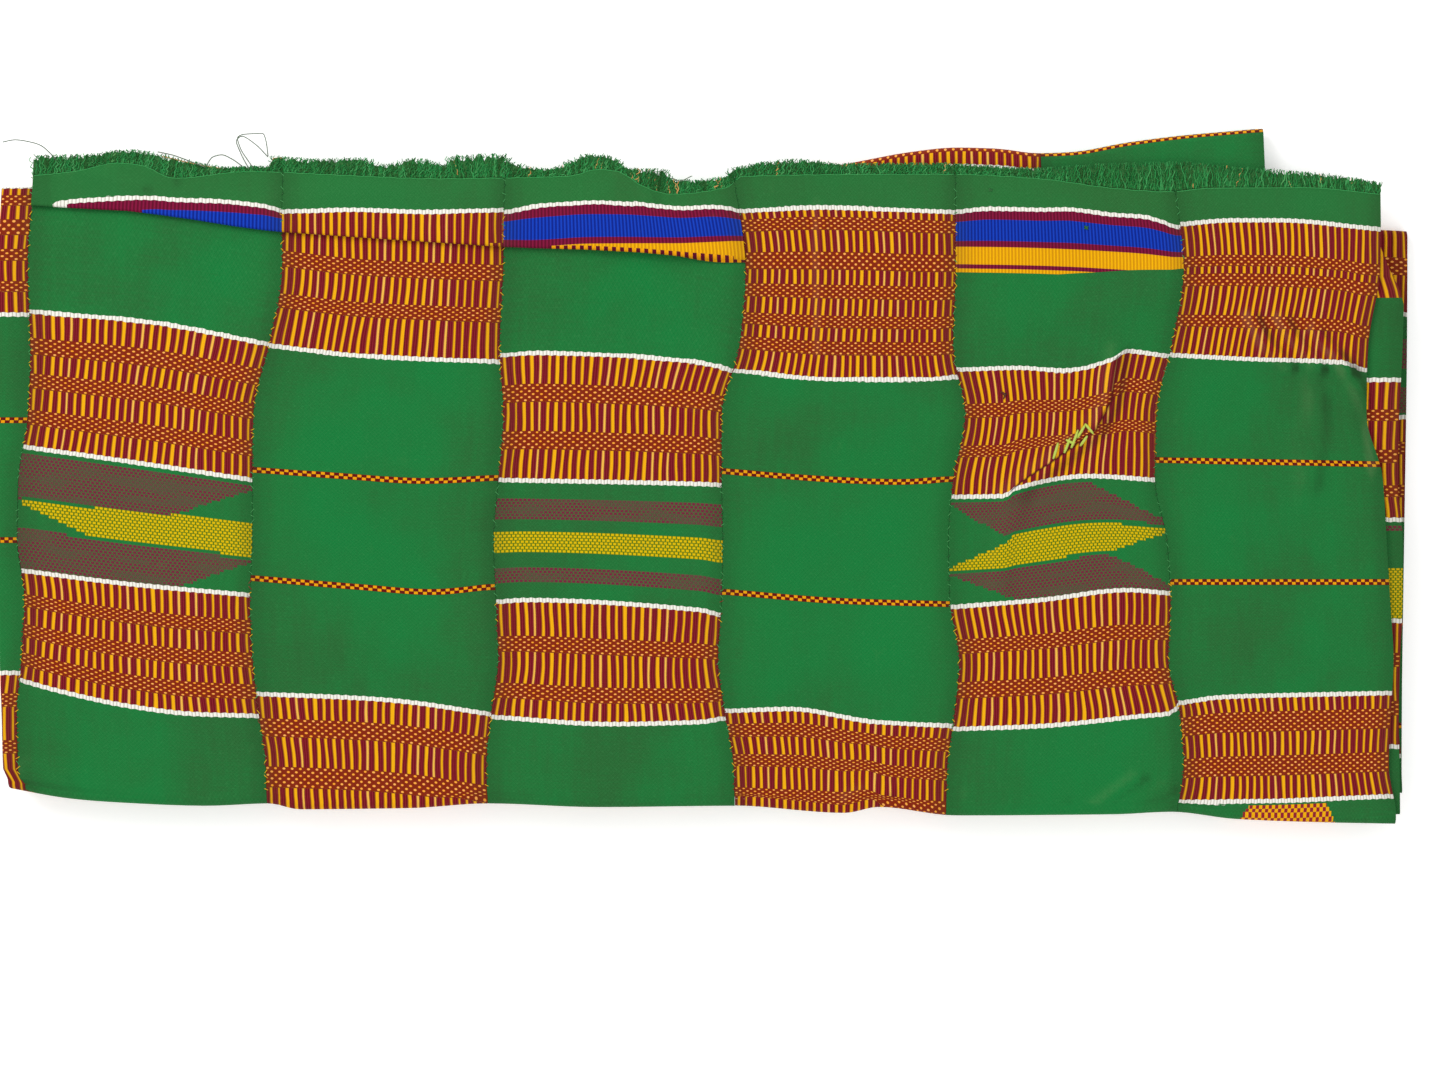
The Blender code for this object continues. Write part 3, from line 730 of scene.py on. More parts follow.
def lower_stations(first_woven, fold_rows):
    """All that lies below the top layer, as (line of a seam, the point at x, the pattern row)."""
    turn_rows = math.pi * FOLD_RADIUS / PATTERN_ROW
    starts = [first_woven + turn_rows / 2, *fold_rows]
    stations = []

    def shift(fold):
        return lambda x: x + along(SHIFTS[fold], x)

    def run_shift(layer, share):
        reach = ease(share)

        def line_x(x):
            front, rear = SHIFTS[front_fold_of(layer)], SHIFTS[rear_fold_of(layer)]
            return x + between(along(front, x), along(rear, x), reach)

        return line_x

    for layer in range(1, LAYERS + 1):
        if layer > 1:
            count = round(RUN_LENGTH / RUN_STEP)
            before, after = starts[layer - 2] + turn_rows / 2, starts[layer - 1] - turn_rows / 2
            steps = range(1, count) if layer < LAYERS else range(1, count + 1)
            for step in steps:
                done = step / count
                share = done if layer % 2 == 0 else 1 - done
                stations.append((
                    run_shift(layer, share),
                    lambda x, offset, layer=layer, share=share: point_on_run(layer, share, x, offset),
                    between(before, after, done),
                ))
        if layer < LAYERS:
            for step in range(TURN_STEPS + 1):
                angle = math.pi * step / TURN_STEPS
                row = starts[layer - 1] + (step / TURN_STEPS - 0.5) * turn_rows
                stations.append((
                    shift(layer - 1),
                    lambda x, offset, fold=layer - 1, angle=angle: point_on_turn(fold, angle, x, offset),
                    row,
                ))
    return stations


def strip_grid(strip, side, left, right, spans, end_line):
    """The whole of a sewn strip of the face or of the back, from its frayed end to its tail."""
    line = face_line if side == FACE else back_line
    grid = Grid(strip, side * HALF_PITCH, spans)
    pattern = strip if side == FACE else "back"
    tucked = side == FACE and strip in ROW_BELOW_TUCK

    def xs_between(x_left, x_right):
        return [
            between(x_left + SEAM_GAP / 2, x_right - SEAM_GAP / 2, step / spans) for step in range(spans + 1)
        ]

    def place(x, y, offset, edges):
        own = 0
        if side == FACE:
            own = relief(x, y, min(x - edges[0], edges[1] - x))
        px, py, pz = lifted(x, y, pair_height(1) + offset)
        return (px, py, pz + own)

    if tucked:
        for index in range(TUCK_POINTS):
            edges = [
                line(name, tuck_section(line(name, SEAM_ROWS[0]))[index][0]) for name in (left, right)
            ]

            def tucked_place(x, offset, index=index, edges=edges):
                y, middle, facing_y, facing_z = tuck_section(x)[index]
                out = offset - HALF_PITCH
                return place(x, y + out * facing_y, middle + out * facing_z, edges)

            def tucked_row(x, index=index):
                section = tuck_section(x)
                if index <= FLAP_POINTS:
                    return woven_row(strip, x, section[index][0])
                before = woven_row(strip, x, section[FLAP_POINTS][0])
                after = woven_row_below_tuck(strip, x, section[-1][0])
                turned = FLAP_POINTS + TUCK_STEPS
                return between(before, after, max(index - turned, 0) / (len(section) - 1 - turned))

            grid.add(xs_between(*edges), tucked_place, tucked_row)

        def first_row(x):
            return tuck_section(x)[-1][0]
    else:

        def first_row(x):
            return along(end_line, x)

    # Rows of the top layer, closer together where the first one curves.
    last_y = turn_centre(0, 0, side * HALF_PITCH)
    start = TUCKED_ROWS_START if tucked else EVEN_ROWS_START
    step_y = ROW_STEP if side == FACE else BACK_ROW_STEP
    count = round((start - last_y) / step_y)
    approach = APPROACH_STEPS[side]
    for step in range(1 if tucked else 0, approach + count):
        if step < approach:
            share = step / approach

            def row_of(x, share=share):
                return between(first_row(x), start, share)
        else:
            share = (step - approach) / count

            def row_of(x, share=share):
                front = turn_centre(0, x, side * HALF_PITCH)
                return between(start, front, share)

        edges = [line(name, row_of(line(name, SEAM_ROWS[0]))) for name in (left, right)]
        woven = woven_row_below_tuck if tucked else woven_row
        grid.add(
            xs_between(*edges),
            lambda x, offset, row_of=row_of, edges=edges: place(x, row_of(x), offset, edges),
            lambda x, row_of=row_of, woven=woven: woven(pattern, x, row_of(x)),
            LEAST_WIDTHS.get(strip, 0) if row_of(edges[0]) > LEAST_WIDTH_FROM else 0,
        )
    grid.top_rows = len(grid.outer)
    folds = [line(name, SEAM_ROWS[-1]) for name in (left, right)]
    middle_x = between(*folds, 0.5)
    first_woven = woven_row(pattern, middle_x, turn_centre(0, middle_x, side * HALF_PITCH))
    fold_rows = FOLD_ROWS.get(strip, [first_woven + added for added in FOLD_ROWS_ADDED])
    for line_x, point, row in lower_stations(first_woven, fold_rows):
        edges = [line_x(x) for x in folds]

        def woven_here(x, row=row, edges=edges):
            share = (x - edges[0]) / (edges[1] - edges[0])
            own = woven_row(pattern, between(*folds, share), FOLD_SAMPLE_Y)
            level = woven_row(pattern, middle_x, FOLD_SAMPLE_Y)
            return row + (own - level) * max(1 - (row - first_woven) / 4, 0)

        grid.add(xs_between(*edges), point, woven_here)
    return grid


def wrap_grid():
    """The strip that passes round the left fold and joins the face to the back."""
    grid = Grid("wrap", 0, 0)
    line_names = ("wrap_to_1", "left_fold")

    def profile(x_face, x_fold, x_back, reach):
        centre = x_fold + HALF_PITCH + SHEET / 2
        points = [(x_face - SEAM_GAP / 2, reach), (between(x_face, centre, 0.5), reach)]
        for step in range(WRAP_ARC_STEPS + 1):
            angle = math.pi * step / WRAP_ARC_STEPS
            points.append((centre - reach * math.sin(angle), reach * math.cos(angle)))
        for step in range(1, WRAP_BACK_STEPS + 1):
            points.append((between(centre, x_back - SEAM_GAP / 2, step / WRAP_BACK_STEPS), -reach))
        return points

    def add(x_face, x_fold, x_back, point, woven):
        outer = profile(x_face, x_fold, x_back, HALF_PITCH + SHEET / 2)
        inner = profile(x_face, x_fold, x_back, HALF_PITCH - SHEET / 2)
        grid.outer.append([point(x, offset) for x, offset in outer])
        grid.inner.append([point(x, offset) for x, offset in inner])
        grid.woven.append([woven] * len(outer))
        reached = [0.0]
        for (xa, za), (xb, zb) in zip(outer, outer[1:]):
            reached.append(reached[-1] + math.hypot(xb - xa, zb - za))
        grid.across.append([1 - place / reached[-1] for place in reached])

    front = turn_centre(0, WRAP_MIDDLE, 0)
    count = round((WRAP_END_ROW - front) / WRAP_ROW_STEP)
    for step in range(count):
        y = between(WRAP_END_ROW, front, step / count)
        x_face, x_fold = (face_line(name, y) for name in line_names)
        add(
            x_face, x_fold, back_line("wrap_to_1", y),
            lambda x, offset, y=y: lifted(x, y, pair_height(1) + offset),
            woven_row("wrap", WRAP_MIDDLE, y),
        )
    grid.top_rows = len(grid.outer)
    ends = [face_line(name, SEAM_ROWS[-1]) for name in line_names]
    ends.append(back_line("wrap_to_1", SEAM_ROWS[-1]))
    first_woven = woven_row("wrap", WRAP_MIDDLE, front)
    fold_rows = [first_woven + added for added in FOLD_ROWS_ADDED]
    for line_x, point, row in lower_stations(first_woven, fold_rows):
        add(*[line_x(x) for x in ends], point, row)
    grid.spans = len(grid.outer[0]) - 1
    return grid


def new_piece(name, vertices, faces, material):
    """A piece in metres from points in millimetres, with its material, attached to the root."""
    data = bpy.data.meshes.new(name)
    data.from_pydata([(x * MM, y * MM, z * MM) for x, y, z in vertices], [], faces)
    data.materials.append(material)
    piece = bpy.data.objects.new(name, data)
    bpy.context.scene.collection.objects.link(piece)
    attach(piece, "root")
    return piece


def sheet_piece(name, grid, material):
    """A closed sheet from a grid, with its pattern map and a map laid out for baking."""
    rows, columns = len(grid.outer), len(grid.outer[0])
    vertices = []
    lengths = [0.0]
    middle = columns // 2
    for outer, inner in zip(grid.outer, grid.inner):
        vertices += outer + inner
    for before, after in zip(grid.outer, grid.outer[1:]):
        lengths.append(lengths[-1] + math.dist(before[middle], after[middle]))
    top_length = lengths[grid.top_rows - 1]
    faces, weave, bake, stretch = [], [], [], []
    creased = name.startswith("face")
    # Painted light and shade of the creases on a face strip's top layer, 0.5 elsewhere.
    tones = [
        [crease_tone(*point[:2]) if creased and row < grid.top_rows else 0.5 for point in points]
        for row, points in enumerate(grid.outer)
    ]

    def bake_place(row, side, column, island):
        start, width = ISLANDS[island]
        done, share = lengths[row] / lengths[-1], column / (columns - 1)
        if island == "top":
            done = lengths[row] / top_length
        elif island == "lower":
            done = (lengths[row] - top_length) / (lengths[-1] - top_length)
        elif island in ("first", "last"):
            done, share = share, side
        elif island in ("left", "right"):
            share = side
        return (start + width * share, ISLAND_START + ISLAND_HEIGHT * done)

    def add(island, *corners):
        """A face between four points of the grid, each a row, a side and a column."""
        faces.append([(2 * row + side) * columns + column for row, side, column in corners])
        weave.extend((grid.across[row][column], grid.woven[row][column]) for row, _, column in corners)
        bake.extend(bake_place(*corner, island) for corner in corners)
        low, high = min(corners)[0], max(corners)[0]
        column = corners[0][2]
        rows_between = abs(grid.woven[high][column] - grid.woven[low][column])
        reach = math.dist(grid.outer[high][column], grid.outer[low][column])
        length = reach / rows_between if rows_between > LEAST_ROWS else PATTERN_ROW
        length = min(length, LONGEST_PATTERN_ROW) / STRETCH_UNIT
        stretch.extend((length, tones[row][column]) for row, _, column in corners)

    end, last = columns - 1, rows - 1
    for row in range(last):
        after = row + 1
        island = "top" if after < grid.top_rows else "lower"
        for column in range(end):
            beside = column + 1
            add(island, (row, 0, column), (after, 0, column), (after, 0, beside), (row, 0, beside))
            add("under", (row, 1, column), (row, 1, beside), (after, 1, beside), (after, 1, column))
        add("left", (row, 0, 0), (row, 1, 0), (after, 1, 0), (after, 0, 0))
        add("right", (row, 0, end), (after, 0, end), (after, 1, end), (row, 1, end))
    for column in range(end):
        beside = column + 1
        add("first", (0, 0, column), (0, 0, beside), (0, 1, beside), (0, 1, column))
        add("last", (last, 0, column), (last, 1, column), (last, 1, beside), (last, 0, beside))
    piece = new_piece(name, vertices, faces, material)
    for map_name, places in (("Weave", weave), ("Stretch", stretch), ("OFBake", bake)):
        layer = piece.data.uv_layers.new(name=map_name)
        layer.data.foreach_set("uv", [value for place in places for value in place])
    piece.data.uv_layers["Weave"].active = True
    mesh = bmesh.new()
    mesh.from_mesh(piece.data)
    bmesh.ops.recalc_face_normals(mesh, faces=mesh.faces)
    mesh.to_mesh(piece.data)
    mesh.free()
    piece.data.shade_smooth()
    piece.data.set_sharp_from_angle(angle=math.radians(SHARP_ANGLE))
    return piece


def tube(path, radii, sides, vertices, faces):
    """Adds a tapered thread along a path to lists of vertices and faces, closed at both ends."""
    start = len(vertices)
    count = len(path)
    for i, (point, radius) in enumerate(zip(path, radii)):
        before, after = path[max(i - 1, 0)], path[min(i + 1, count - 1)]
        dx, dy, dz = (after[k] - before[k] for k in range(3))
        length = math.sqrt(dx * dx + dy * dy + dz * dz) or 1
        dx, dy, dz = dx / length, dy / length, dz / length
        side = (dy, -dx, 0) if abs(dz) < 0.9 else (1, 0, 0)
        norm = math.sqrt(sum(s * s for s in side)) or 1
        side = tuple(s / norm for s in side)
        up = (side[1] * dz - side[2] * dy, side[2] * dx - side[0] * dz, side[0] * dy - side[1] * dx)
        for k in range(sides):
            angle = 2 * math.pi * k / sides
            c, s = math.cos(angle) * radius, math.sin(angle) * radius
            vertices.append(tuple(point[j] + side[j] * c + up[j] * s for j in range(3)))
    for i in range(count - 1):
        for k in range(sides):
            j = (k + 1) % sides
            a, b = start + i * sides, start + (i + 1) * sides
            faces.append((a + k, b + k, b + j, a + j))
    faces.append(tuple(start + k for k in range(sides)))
    faces.append(tuple(start + (count - 1) * sides + k for k in reversed(range(sides))))
    return (count - 1) * sides + 2


class Threads:
    """Threads that make one piece, each with the number that picks its colour."""

    def __init__(self):
        self.vertices, self.faces, self.tones, self.counts = [], [], [], []

    def add(self, tone, path, radii, sides=4):
        self.counts.append(tube(path, radii, sides, self.vertices, self.faces))
        self.tones.append(tone)

    def piece(self, name, material, slot):
        piece = new_piece(name, self.vertices, self.faces, material)
        layer = piece.data.uv_layers.new(name="Thread")
        places = []
        face = 0
        for tone, count in zip(self.tones, self.counts):
            for _ in range(count):
                places.extend([tone, 0.5] * len(piece.data.polygons[face].vertices))
                face += 1
        layer.data.foreach_set("uv", places)
        piece.data.shade_smooth()
        return piece


def math_method(operation, swapped=False):
    """A method of Value that adds one Math node."""

    def apply(self, *others):
        values = (*others, self) if swapped else (self, *others)
        return self.shade.node(
            "ShaderNodeMath", {"operation": operation}, dict(enumerate(values))
        )

    return apply


class Value:
    """A socket that adds Math nodes when it is used in an expression."""

    def __init__(self, shade, socket):
        self.shade = shade
        self.socket = socket

    __add__ = __radd__ = math_method("ADD")
    __sub__ = math_method("SUBTRACT")
    __rsub__ = math_method("SUBTRACT", swapped=True)
    __mul__ = __rmul__ = math_method("MULTIPLY")
    __truediv__ = math_method("DIVIDE")
    __mod__ = math_method("FLOORED_MODULO")
    __abs__ = math_method("ABSOLUTE")
    __gt__ = math_method("GREATER_THAN")
    __lt__ = math_method("LESS_THAN")
    floor = math_method("FLOOR")
    fraction = math_method("FRACT")
    larger = math_method("MAXIMUM")
    power = math_method("POWER")
    sine = math_method("SINE")

    def wave(self, turns):
        """The sine of this many turns to each 1."""
        return (self * 2 * math.pi * turns).sine()

    def near(self, middle, reach):
        """1 within reach of the middle, else 0."""
        return abs(self - middle) < reach

    def rise(self, low, high):
        """Goes smoothly from 0 at low to 1 at high."""
        return self.shade.node(
            "ShaderNodeMapRange",
            {"interpolation_type": "SMOOTHSTEP"},
            {"Value": self, "From Min": low, "From Max": high},
        )


class Shade:
    """The node tree of one cloth or thread material."""

    def __init__(self, name, constants):
        self.material = bpy.data.materials.new(name)
        self.material.use_nodes = True
        self.tree = self.material.node_tree
        self.shader = self.tree.nodes["Principled BSDF"]
        for socket, value in constants.items():
            self.shader.inputs[socket].default_value = value

    def node(self, kind, settings=None, inputs=None, output=0):
        node = self.tree.nodes.new(kind)
        for name, value in (settings or {}).items():
            if name == "stops":
                self._set_stops(node.color_ramp, value)
            else:
                setattr(node, name, value)
        for key, value in (inputs or {}).items():
            if isinstance(value, Value):
                self.tree.links.new(value.socket, node.inputs[key])
            else:
                node.inputs[key].default_value = value
        return Value(self, node.outputs[output])

    def _set_stops(self, ramp, settings):
        ramp.interpolation, stops = settings
        while len(ramp.elements) < len(stops):
            ramp.elements.new(1.0)
        for element, (place, colour) in zip(ramp.elements, stops):
            element.position = place
            element.color = colour if hasattr(colour, "__len__") else (colour, colour, colour, 1)

    def ramp(self, value, stops, smooth="LINEAR"):
        return self.node("ShaderNodeValToRGB", {"stops": (smooth, stops)}, {"Fac": value})

    def curve(self, value, points):
        """A number that follows (place, value) points, both from 0 to 1."""
        if len(points) == 1:
            return points[0][1]
        return self.ramp(value, points)

    def mix(self, factor, below, above):
        return self.node(
            "ShaderNodeMix", {"data_type": "RGBA"}, {0: factor, 6: below, 7: above}, output=2
        )

    def noise(self, vector, scale, detail=2.0, rough=0.5):
        return self.node(
            "ShaderNodeTexNoise", None,
            {"Vector": vector, "Scale": scale, "Detail": detail, "Roughness": rough},
        )

    def grain(self, x, y, detail=2.0, rough=0.5):
        """Noise that follows two values instead of the place."""
        vector = self.node("ShaderNodeCombineXYZ", None, {0: x, 1: y})
        return self.noise(vector, 1.0, detail, rough)

    def staggered(self, columns, level, shift=0.0):
        """Cells in rows that are half a cell apart: the row, and the place from a cell's middle."""
        row = level.floor()
        x = (columns + 0.5 * (row % 2.0) + shift).fraction() - 0.5
        return row, x, level.fraction() - 0.5

    def shaded(self, factor, name):
        """From a colour's darker copy at 0 to the colour at 1, as painted shade on the sides and hollows of
        ribs, bars and beads.
        """
        return self.mix(factor, tint(f"{name}_shade"), tint(name))

    def random(self, value):
        """A random number from 0 to 1 for each whole number."""
        return self.node("ShaderNodeTexWhiteNoise", {"noise_dimensions": "1D"}, {"W": value})

    def object_place(self):
        return self.node("ShaderNodeTexCoord", None, None, output=3)

    def map_place(self, name):
        """The two numbers of a piece's own map."""
        uv = self.node("ShaderNodeUVMap", {"uv_map": name})
        return [self.node("ShaderNodeSeparateXYZ", None, {0: uv}, output=k) for k in range(2)]

    def feed(self, socket, value):
        self.tree.links.new(value.socket, self.shader.inputs[socket])

    def relief(self, height, distance, strength=1.0):
        bump = self.node(
            "ShaderNodeBump", None, {"Strength": strength, "Distance": distance, "Height": height}
        )
        self.feed("Normal", bump)


CLOTH_FINISH = {"Sheen Weight": 0.03, "Sheen Roughness": 0.4, "Specular IOR Level": 0.12}


def linear(red, green, blue):
    """A colour as the shader takes it, from red, green and blue up to 255."""
    channels = [channel / 255 for channel in (red, green, blue)]
    return tuple(
        channel / 12.92 if channel <= 0.04045 else ((channel + 0.055) / 1.055) ** 2.4
        for channel in channels
    ) + (1.0,)


# The woven colours' shades, most of them darker copies painted as shade on ribs and bars, and the lesser
# colours, up to 255; the main ones are in KenteColours.
SHADES = {
    "check": (236, 160, 4), "bright": (6, 122, 56), "deep": (36, 98, 46), "faded": (46, 104, 50),
    "thread": (84, 150, 92), "fibre": (150, 190, 120),
    "pale_yellow": (246, 190, 84), "yellow_shade": (124, 50, 0), "maroon_shade": (100, 8, 14),
    "pale_dot": (250, 180, 100), "dot_ground": (128, 34, 6), "block_shade": (84, 82, 60),
    "dash": (74, 100, 54), "lens_gap": (70, 112, 14), "blue_shade": (2, 28, 128),
    "band_maroon": (132, 18, 60), "band_maroon_shade": (92, 4, 36), "band_yellow": (244, 180, 0),
    "band_yellow_shade": (206, 138, 0), "white_shade": (186, 182, 168), "wear": (96, 128, 80),
    # The next line holds painted shade and a painted highlight for the two sides of creases, and a painted
    # shadow along the mend.
    "seam": (34, 54, 26), "torn": (64, 10, 10), "crease": (26, 24, 12), "crest": (200, 200, 150),
}


def tint(name):
    """A colour that the user chooses, or one of the fixed shades."""
    if name in SHADES:
        return linear(*SHADES[name])
    return (*getattr(bpy.context.scene.kente_colours, name), 1.0)


def dot_progress(shade, into, bands):
    """How far into its dot band a point is, from 0 to 1, and 0 between the bands."""
    stops = [(0.0, 0.0)]
    for start, end in zip(bands[::2], bands[1::2]):
        stops += [(start, 0.0), (start + 0.0005, 0.01), (end, 1.0), (end + 0.0005, 0.0)]
    return shade.curve(into, stops)


def woven_material(strip, odd, motif, end_band=True):
    """The cloth of one strip.

    Its first map has the share across the strip and the pattern row, and its second how long a
    pattern row is there, in tenths of a metre, and the painted light and shade of its creases.
    """
    shade = Shade(f"{strip}_weave", CLOTH_FINISH)
    across, row = shade.map_place("Weave")
    row_length, crease = shade.map_place("Stretch")
    row_length = row_length * STRETCH_UNIT
    coordinates = shade.object_place()
    number = row.floor()
    into = row - number
    cycle = number % PATTERN_CYCLE
    started = row > 0.0
    pairs_across = PAIRS_OF_BARS.get(strip, USUAL_PAIRS)

    # Plain green ground, mottled, with a fine weft.
    patches = shade.noise(coordinates, 16.0, 3.0, 0.55)
    streaks = shade.grain(across * 9.0, row * 90.0, 2.0, 0.6)
    weft = shade.grain(across * 60.0, row * 55.0, 3.0, 0.7)
    warp = shade.grain(across * 34.0, row * 1.6, 2.0, 0.6)
    edge = (0.5 - abs(across - 0.5)).rise(0.0, 0.28)
    tone = patches * 0.42 + streaks * 0.25 + weft * 0.15 + warp * 0.18
    green = shade.mix(tone.rise(0.36, 0.62), tint("deep"), tint("green"))
    green = shade.mix(edge * patches.rise(0.35, 0.7) * 0.75, green, tint("bright"))
    green = shade.mix((row < 0.0) * 0.45, green, tint("faded"))
    threads = across.wave(62) * row.wave(31) * 0.5 + 0.5
    green = shade.mix(threads * 0.09 + weft.rise(0.5, 0.8) * 0.16, green, tint("thread"))
    green = shade.mix(streaks.rise(0.56, 0.8) * 0.35, green, tint("deep"))
    weave_height = across.wave(130) * row.wave(64)

    # Yellow and maroon bars. Those of the fifth strip jump at its mend.
    pairs = across * pairs_across + (shade.grain(across * 6.0, row * 1.5) - 0.5) * 0.7
    dot_into = into
    if strip == "face_2":
        pairs = pairs + (row < 0.22) * 0.5
    if strip == "face_5":
        mend = shade.curve(into, MEND_LINE)
        beyond = (across > mend) * number.near(1, 0.5)
        pairs = pairs + beyond * 0.45
        dot_into = into + beyond * MEND_JUMP
    pair = pairs.floor()
    phase = pairs - pair
    chance = shade.random(pair)
    half_width = 0.12 + chance * 0.13 + edge * 0.02
    yellow_bar = 1 - ((abs(phase - 0.52) - half_width) / 0.05).rise(-1.0, 1.0)
    # Painted shade darkens the left side of each yellow bar, and the maroon is painted light on its ribs and
    # dark between them.
    bar_yellow = shade.shaded((phase - 0.52 + half_width).rise(0.0, 0.22), "yellow")
    bar_yellow = shade.mix((chance < 0.14) * 0.7, bar_yellow, tint("pale_yellow"))
    ribs = (phase * 8.0 * math.pi + 0.5).sine() * 0.5 + 0.5
    bar_maroon = shade.shaded(ribs * 0.8 * (0.5 + streaks), "maroon")
    bars = shade.mix(yellow_bar, bar_maroon, bar_yellow)

    # Dot bands across the bars. The fourth back strip's second group shows a cycle later, in row 10.
    progress = dot_progress(shade, dot_into, PLAIN_DOT_BANDS)
    dot_rows = USUAL_DOT_ROWS
    for figured, shares in DOT_BANDS.get(strip, {}).items():
        own = dot_progress(shade, dot_into, shares)
        here = number.near(figured if strip != "back_4" or figured == 0 else 10, 0.5)
        progress = own * here + progress * (1 - here)
        own_rows = DOT_ROWS.get(strip, {}).get(figured, USUAL_DOT_ROWS)
        dot_rows = dot_rows + here * (own_rows - USUAL_DOT_ROWS)
    in_dots = progress > 0.004
    dot_row, dot_x, dot_y = shade.staggered(pairs, progress * dot_rows, 0.27)
    dot_size = 1 - (dot_x * dot_x * 26.0 + dot_y * dot_y * 7.5).rise(0.45, 1.15)
    dot_pale = shade.random(pair + dot_row * 31.0) * 0.7
    dot_colour = shade.mix(dot_pale, tint("dot"), tint("pale_dot"))
    dots = shade.mix(dot_size, tint("dot_ground"), dot_colour)
    figured_colour = shade.mix(in_dots, bars, dots)
    figured_height = (yellow_bar * 0.9 + ribs * 0.35) * (1 - in_dots) + in_dots * (0.3 + dot_size * 0.6)

    # Blocks and lens of the middle row, with stepped edges.
    brick_row, brick_x, brick_y = shade.staggered(across * BRICKS_ACROSS, into * BRICK_ROWS)
    stepped = (across * BRICKS_ACROSS).floor() / BRICKS_ACROSS
    stepped_into = brick_row / BRICK_ROWS
    brick = 1 - (abs(brick_x) * 2.1).larger(abs(brick_y) * 1.9).rise(0.52, 0.96)
    worn = shade.grain(across * 4.0, row * 9.0, 3.0, 0.6).rise(0.47, 0.62)
    block = shade.mix(brick, tint("dash"), tint("block"))
    block = shade.mix(worn * 0.6, block, tint("block_shade"))
    lens = shade.mix(brick, tint("lens_gap"), tint("lens"))
    motif_colour = green
    motif_height = weave_height * 0.25
    for (top, bottom), filling in zip(motif, (block, lens, block)):
        top_edge, bottom_edge = shade.curve(stepped, top), shade.curve(stepped, bottom)
        inside = (stepped_into > top_edge) * (stepped_into < bottom_edge)
        motif_colour = shade.mix(inside, motif_colour, filling)
        motif_height = motif_height + inside * brick * 0.5
    if strip == "back_5":
        # Two other blocks show where the strip comes back under itself.
        lower_blocks = into.near(0.165, 0.125) + into.near(0.615, 0.145)
        lower_blocks = shade.mix(lower_blocks, green, block)
        motif_colour = shade.mix(number.near(20, 0.5), motif_colour, lower_blocks)
    if strip == "face_6":
        check_row, check_x, _ = shade.staggered(across * CHECKS_ACROSS, into * CHECK_ROWS)
        check = shade.mix(check_x < 0.0, tint("maroon"), tint("yellow"))
        inside = abs(across - 0.5) < 0.17 + check_row / CHECK_ROWS * 0.32
        motif_colour = shade.mix(inside * (into > 0.034) * (into < 0.6), green, check)

    # Which rows are plain, figured or hold the blocks.
    first_figured, second_figured = FIGURED_ROWS[odd]
    in_figured = (cycle.near(first_figured, 0.5) + cycle.near(second_figured, 0.5)) * started
    if strip == "back_5":
        in_figured = in_figured + (row < 0.0)
    in_motif = cycle.near(2 if odd else 5, 0.5) * started
    colour = shade.mix(in_figured, green, figured_colour)
    colour = shade.mix(in_motif, colour, motif_colour)
    height = weave_height * 0.25 * (1 - in_figured) * (1 - in_motif)
    height = height + figured_height * in_figured + motif_height * in_motif

    # Woven end of an odd strip: maroon, blue, maroon, yellow, maroon and a yellow line.
    if odd and end_band:
        rib = across.wave(pairs_across * RIBS_PER_PAIR) * 0.5 + 0.5
        in_blue = (row > BLUE_BAND[0]) * (row < BLUE_BAND[1])
        # Each stripe of the woven end is painted light on its ribs and dark between them, as painted shade.
        band = shade.mix(in_blue, shade.shaded(rib, "band_maroon"), shade.shaded(rib, "blue"))
        in_yellow = (row > YELLOW_BAND[0]) * (row < YELLOW_BAND[1]) + (row > YELLOW_LINE_START)
        band = shade.mix(in_yellow, band, shade.shaded(rib, "band_yellow"))
        if strip == "face_3":
            odd_check = (across * LIP_CHECKS_ACROSS).fraction() < 0.5
            lip_check = shade.mix(odd_check, tint("band_maroon_shade"), tint("check"))
            band = shade.mix(row > shade.curve(across, LIP_CHECKS), band, lip_check)
        band_end = shade.curve(across, CUT_BAND_ENDS[strip]) if strip in CUT_BAND_ENDS else BAND_END
        in_band = started * (row < band_end)
        colour = shade.mix(in_band, colour, band)
        height = height * (1 - in_band) + rib * in_band * 0.8

    # Woven lines: white with ribs, or a double row of maroon and yellow checks.
    line = (row + 0.5).floor()
    off_line = (row - line) * row_length
    line_cycle = line % PATTERN_CYCLE
    checkered = line_cycle.near(0 if odd else 2, 0.5) + line_cycle.near(5 if odd else 3, 0.5)
    if odd:
        checkered = checkered * (row > 3.0)
    started_line = line > (-0.5 if end_band else 0.5)
    on_line = abs(off_line + pairs.wave(1) * 0.14) < WHITE_LINE
    bead = 1 - abs((pairs * RIBS_PER_PAIR).fraction() - 0.5) * 2
    check_across = across * LINE_CHECKS_ACROSS
    check = (check_across.floor() + (off_line > 0.0)) % 2.0
    check = check * (abs(check_across.fraction() - 0.5) < 0.43) * (abs(off_line) < CHECKS_IN_LINE)
    is_white = on_line * (1 - checkered) * started_line
    is_check = (abs(off_line) < CHECK_LINE) * checkered * started_line
    # The white line's beads are painted darker between them, as painted shade.
    colour = shade.mix(is_white, colour, shade.shaded(bead.rise(0.05, 0.5), "white"))
    colour = shade.mix(is_check, colour, shade.mix(check, tint("maroon_shade"), tint("check")))
    height = height * (1 - is_white) + is_white * (0.7 + bead * 0.8) + is_check * 0.4

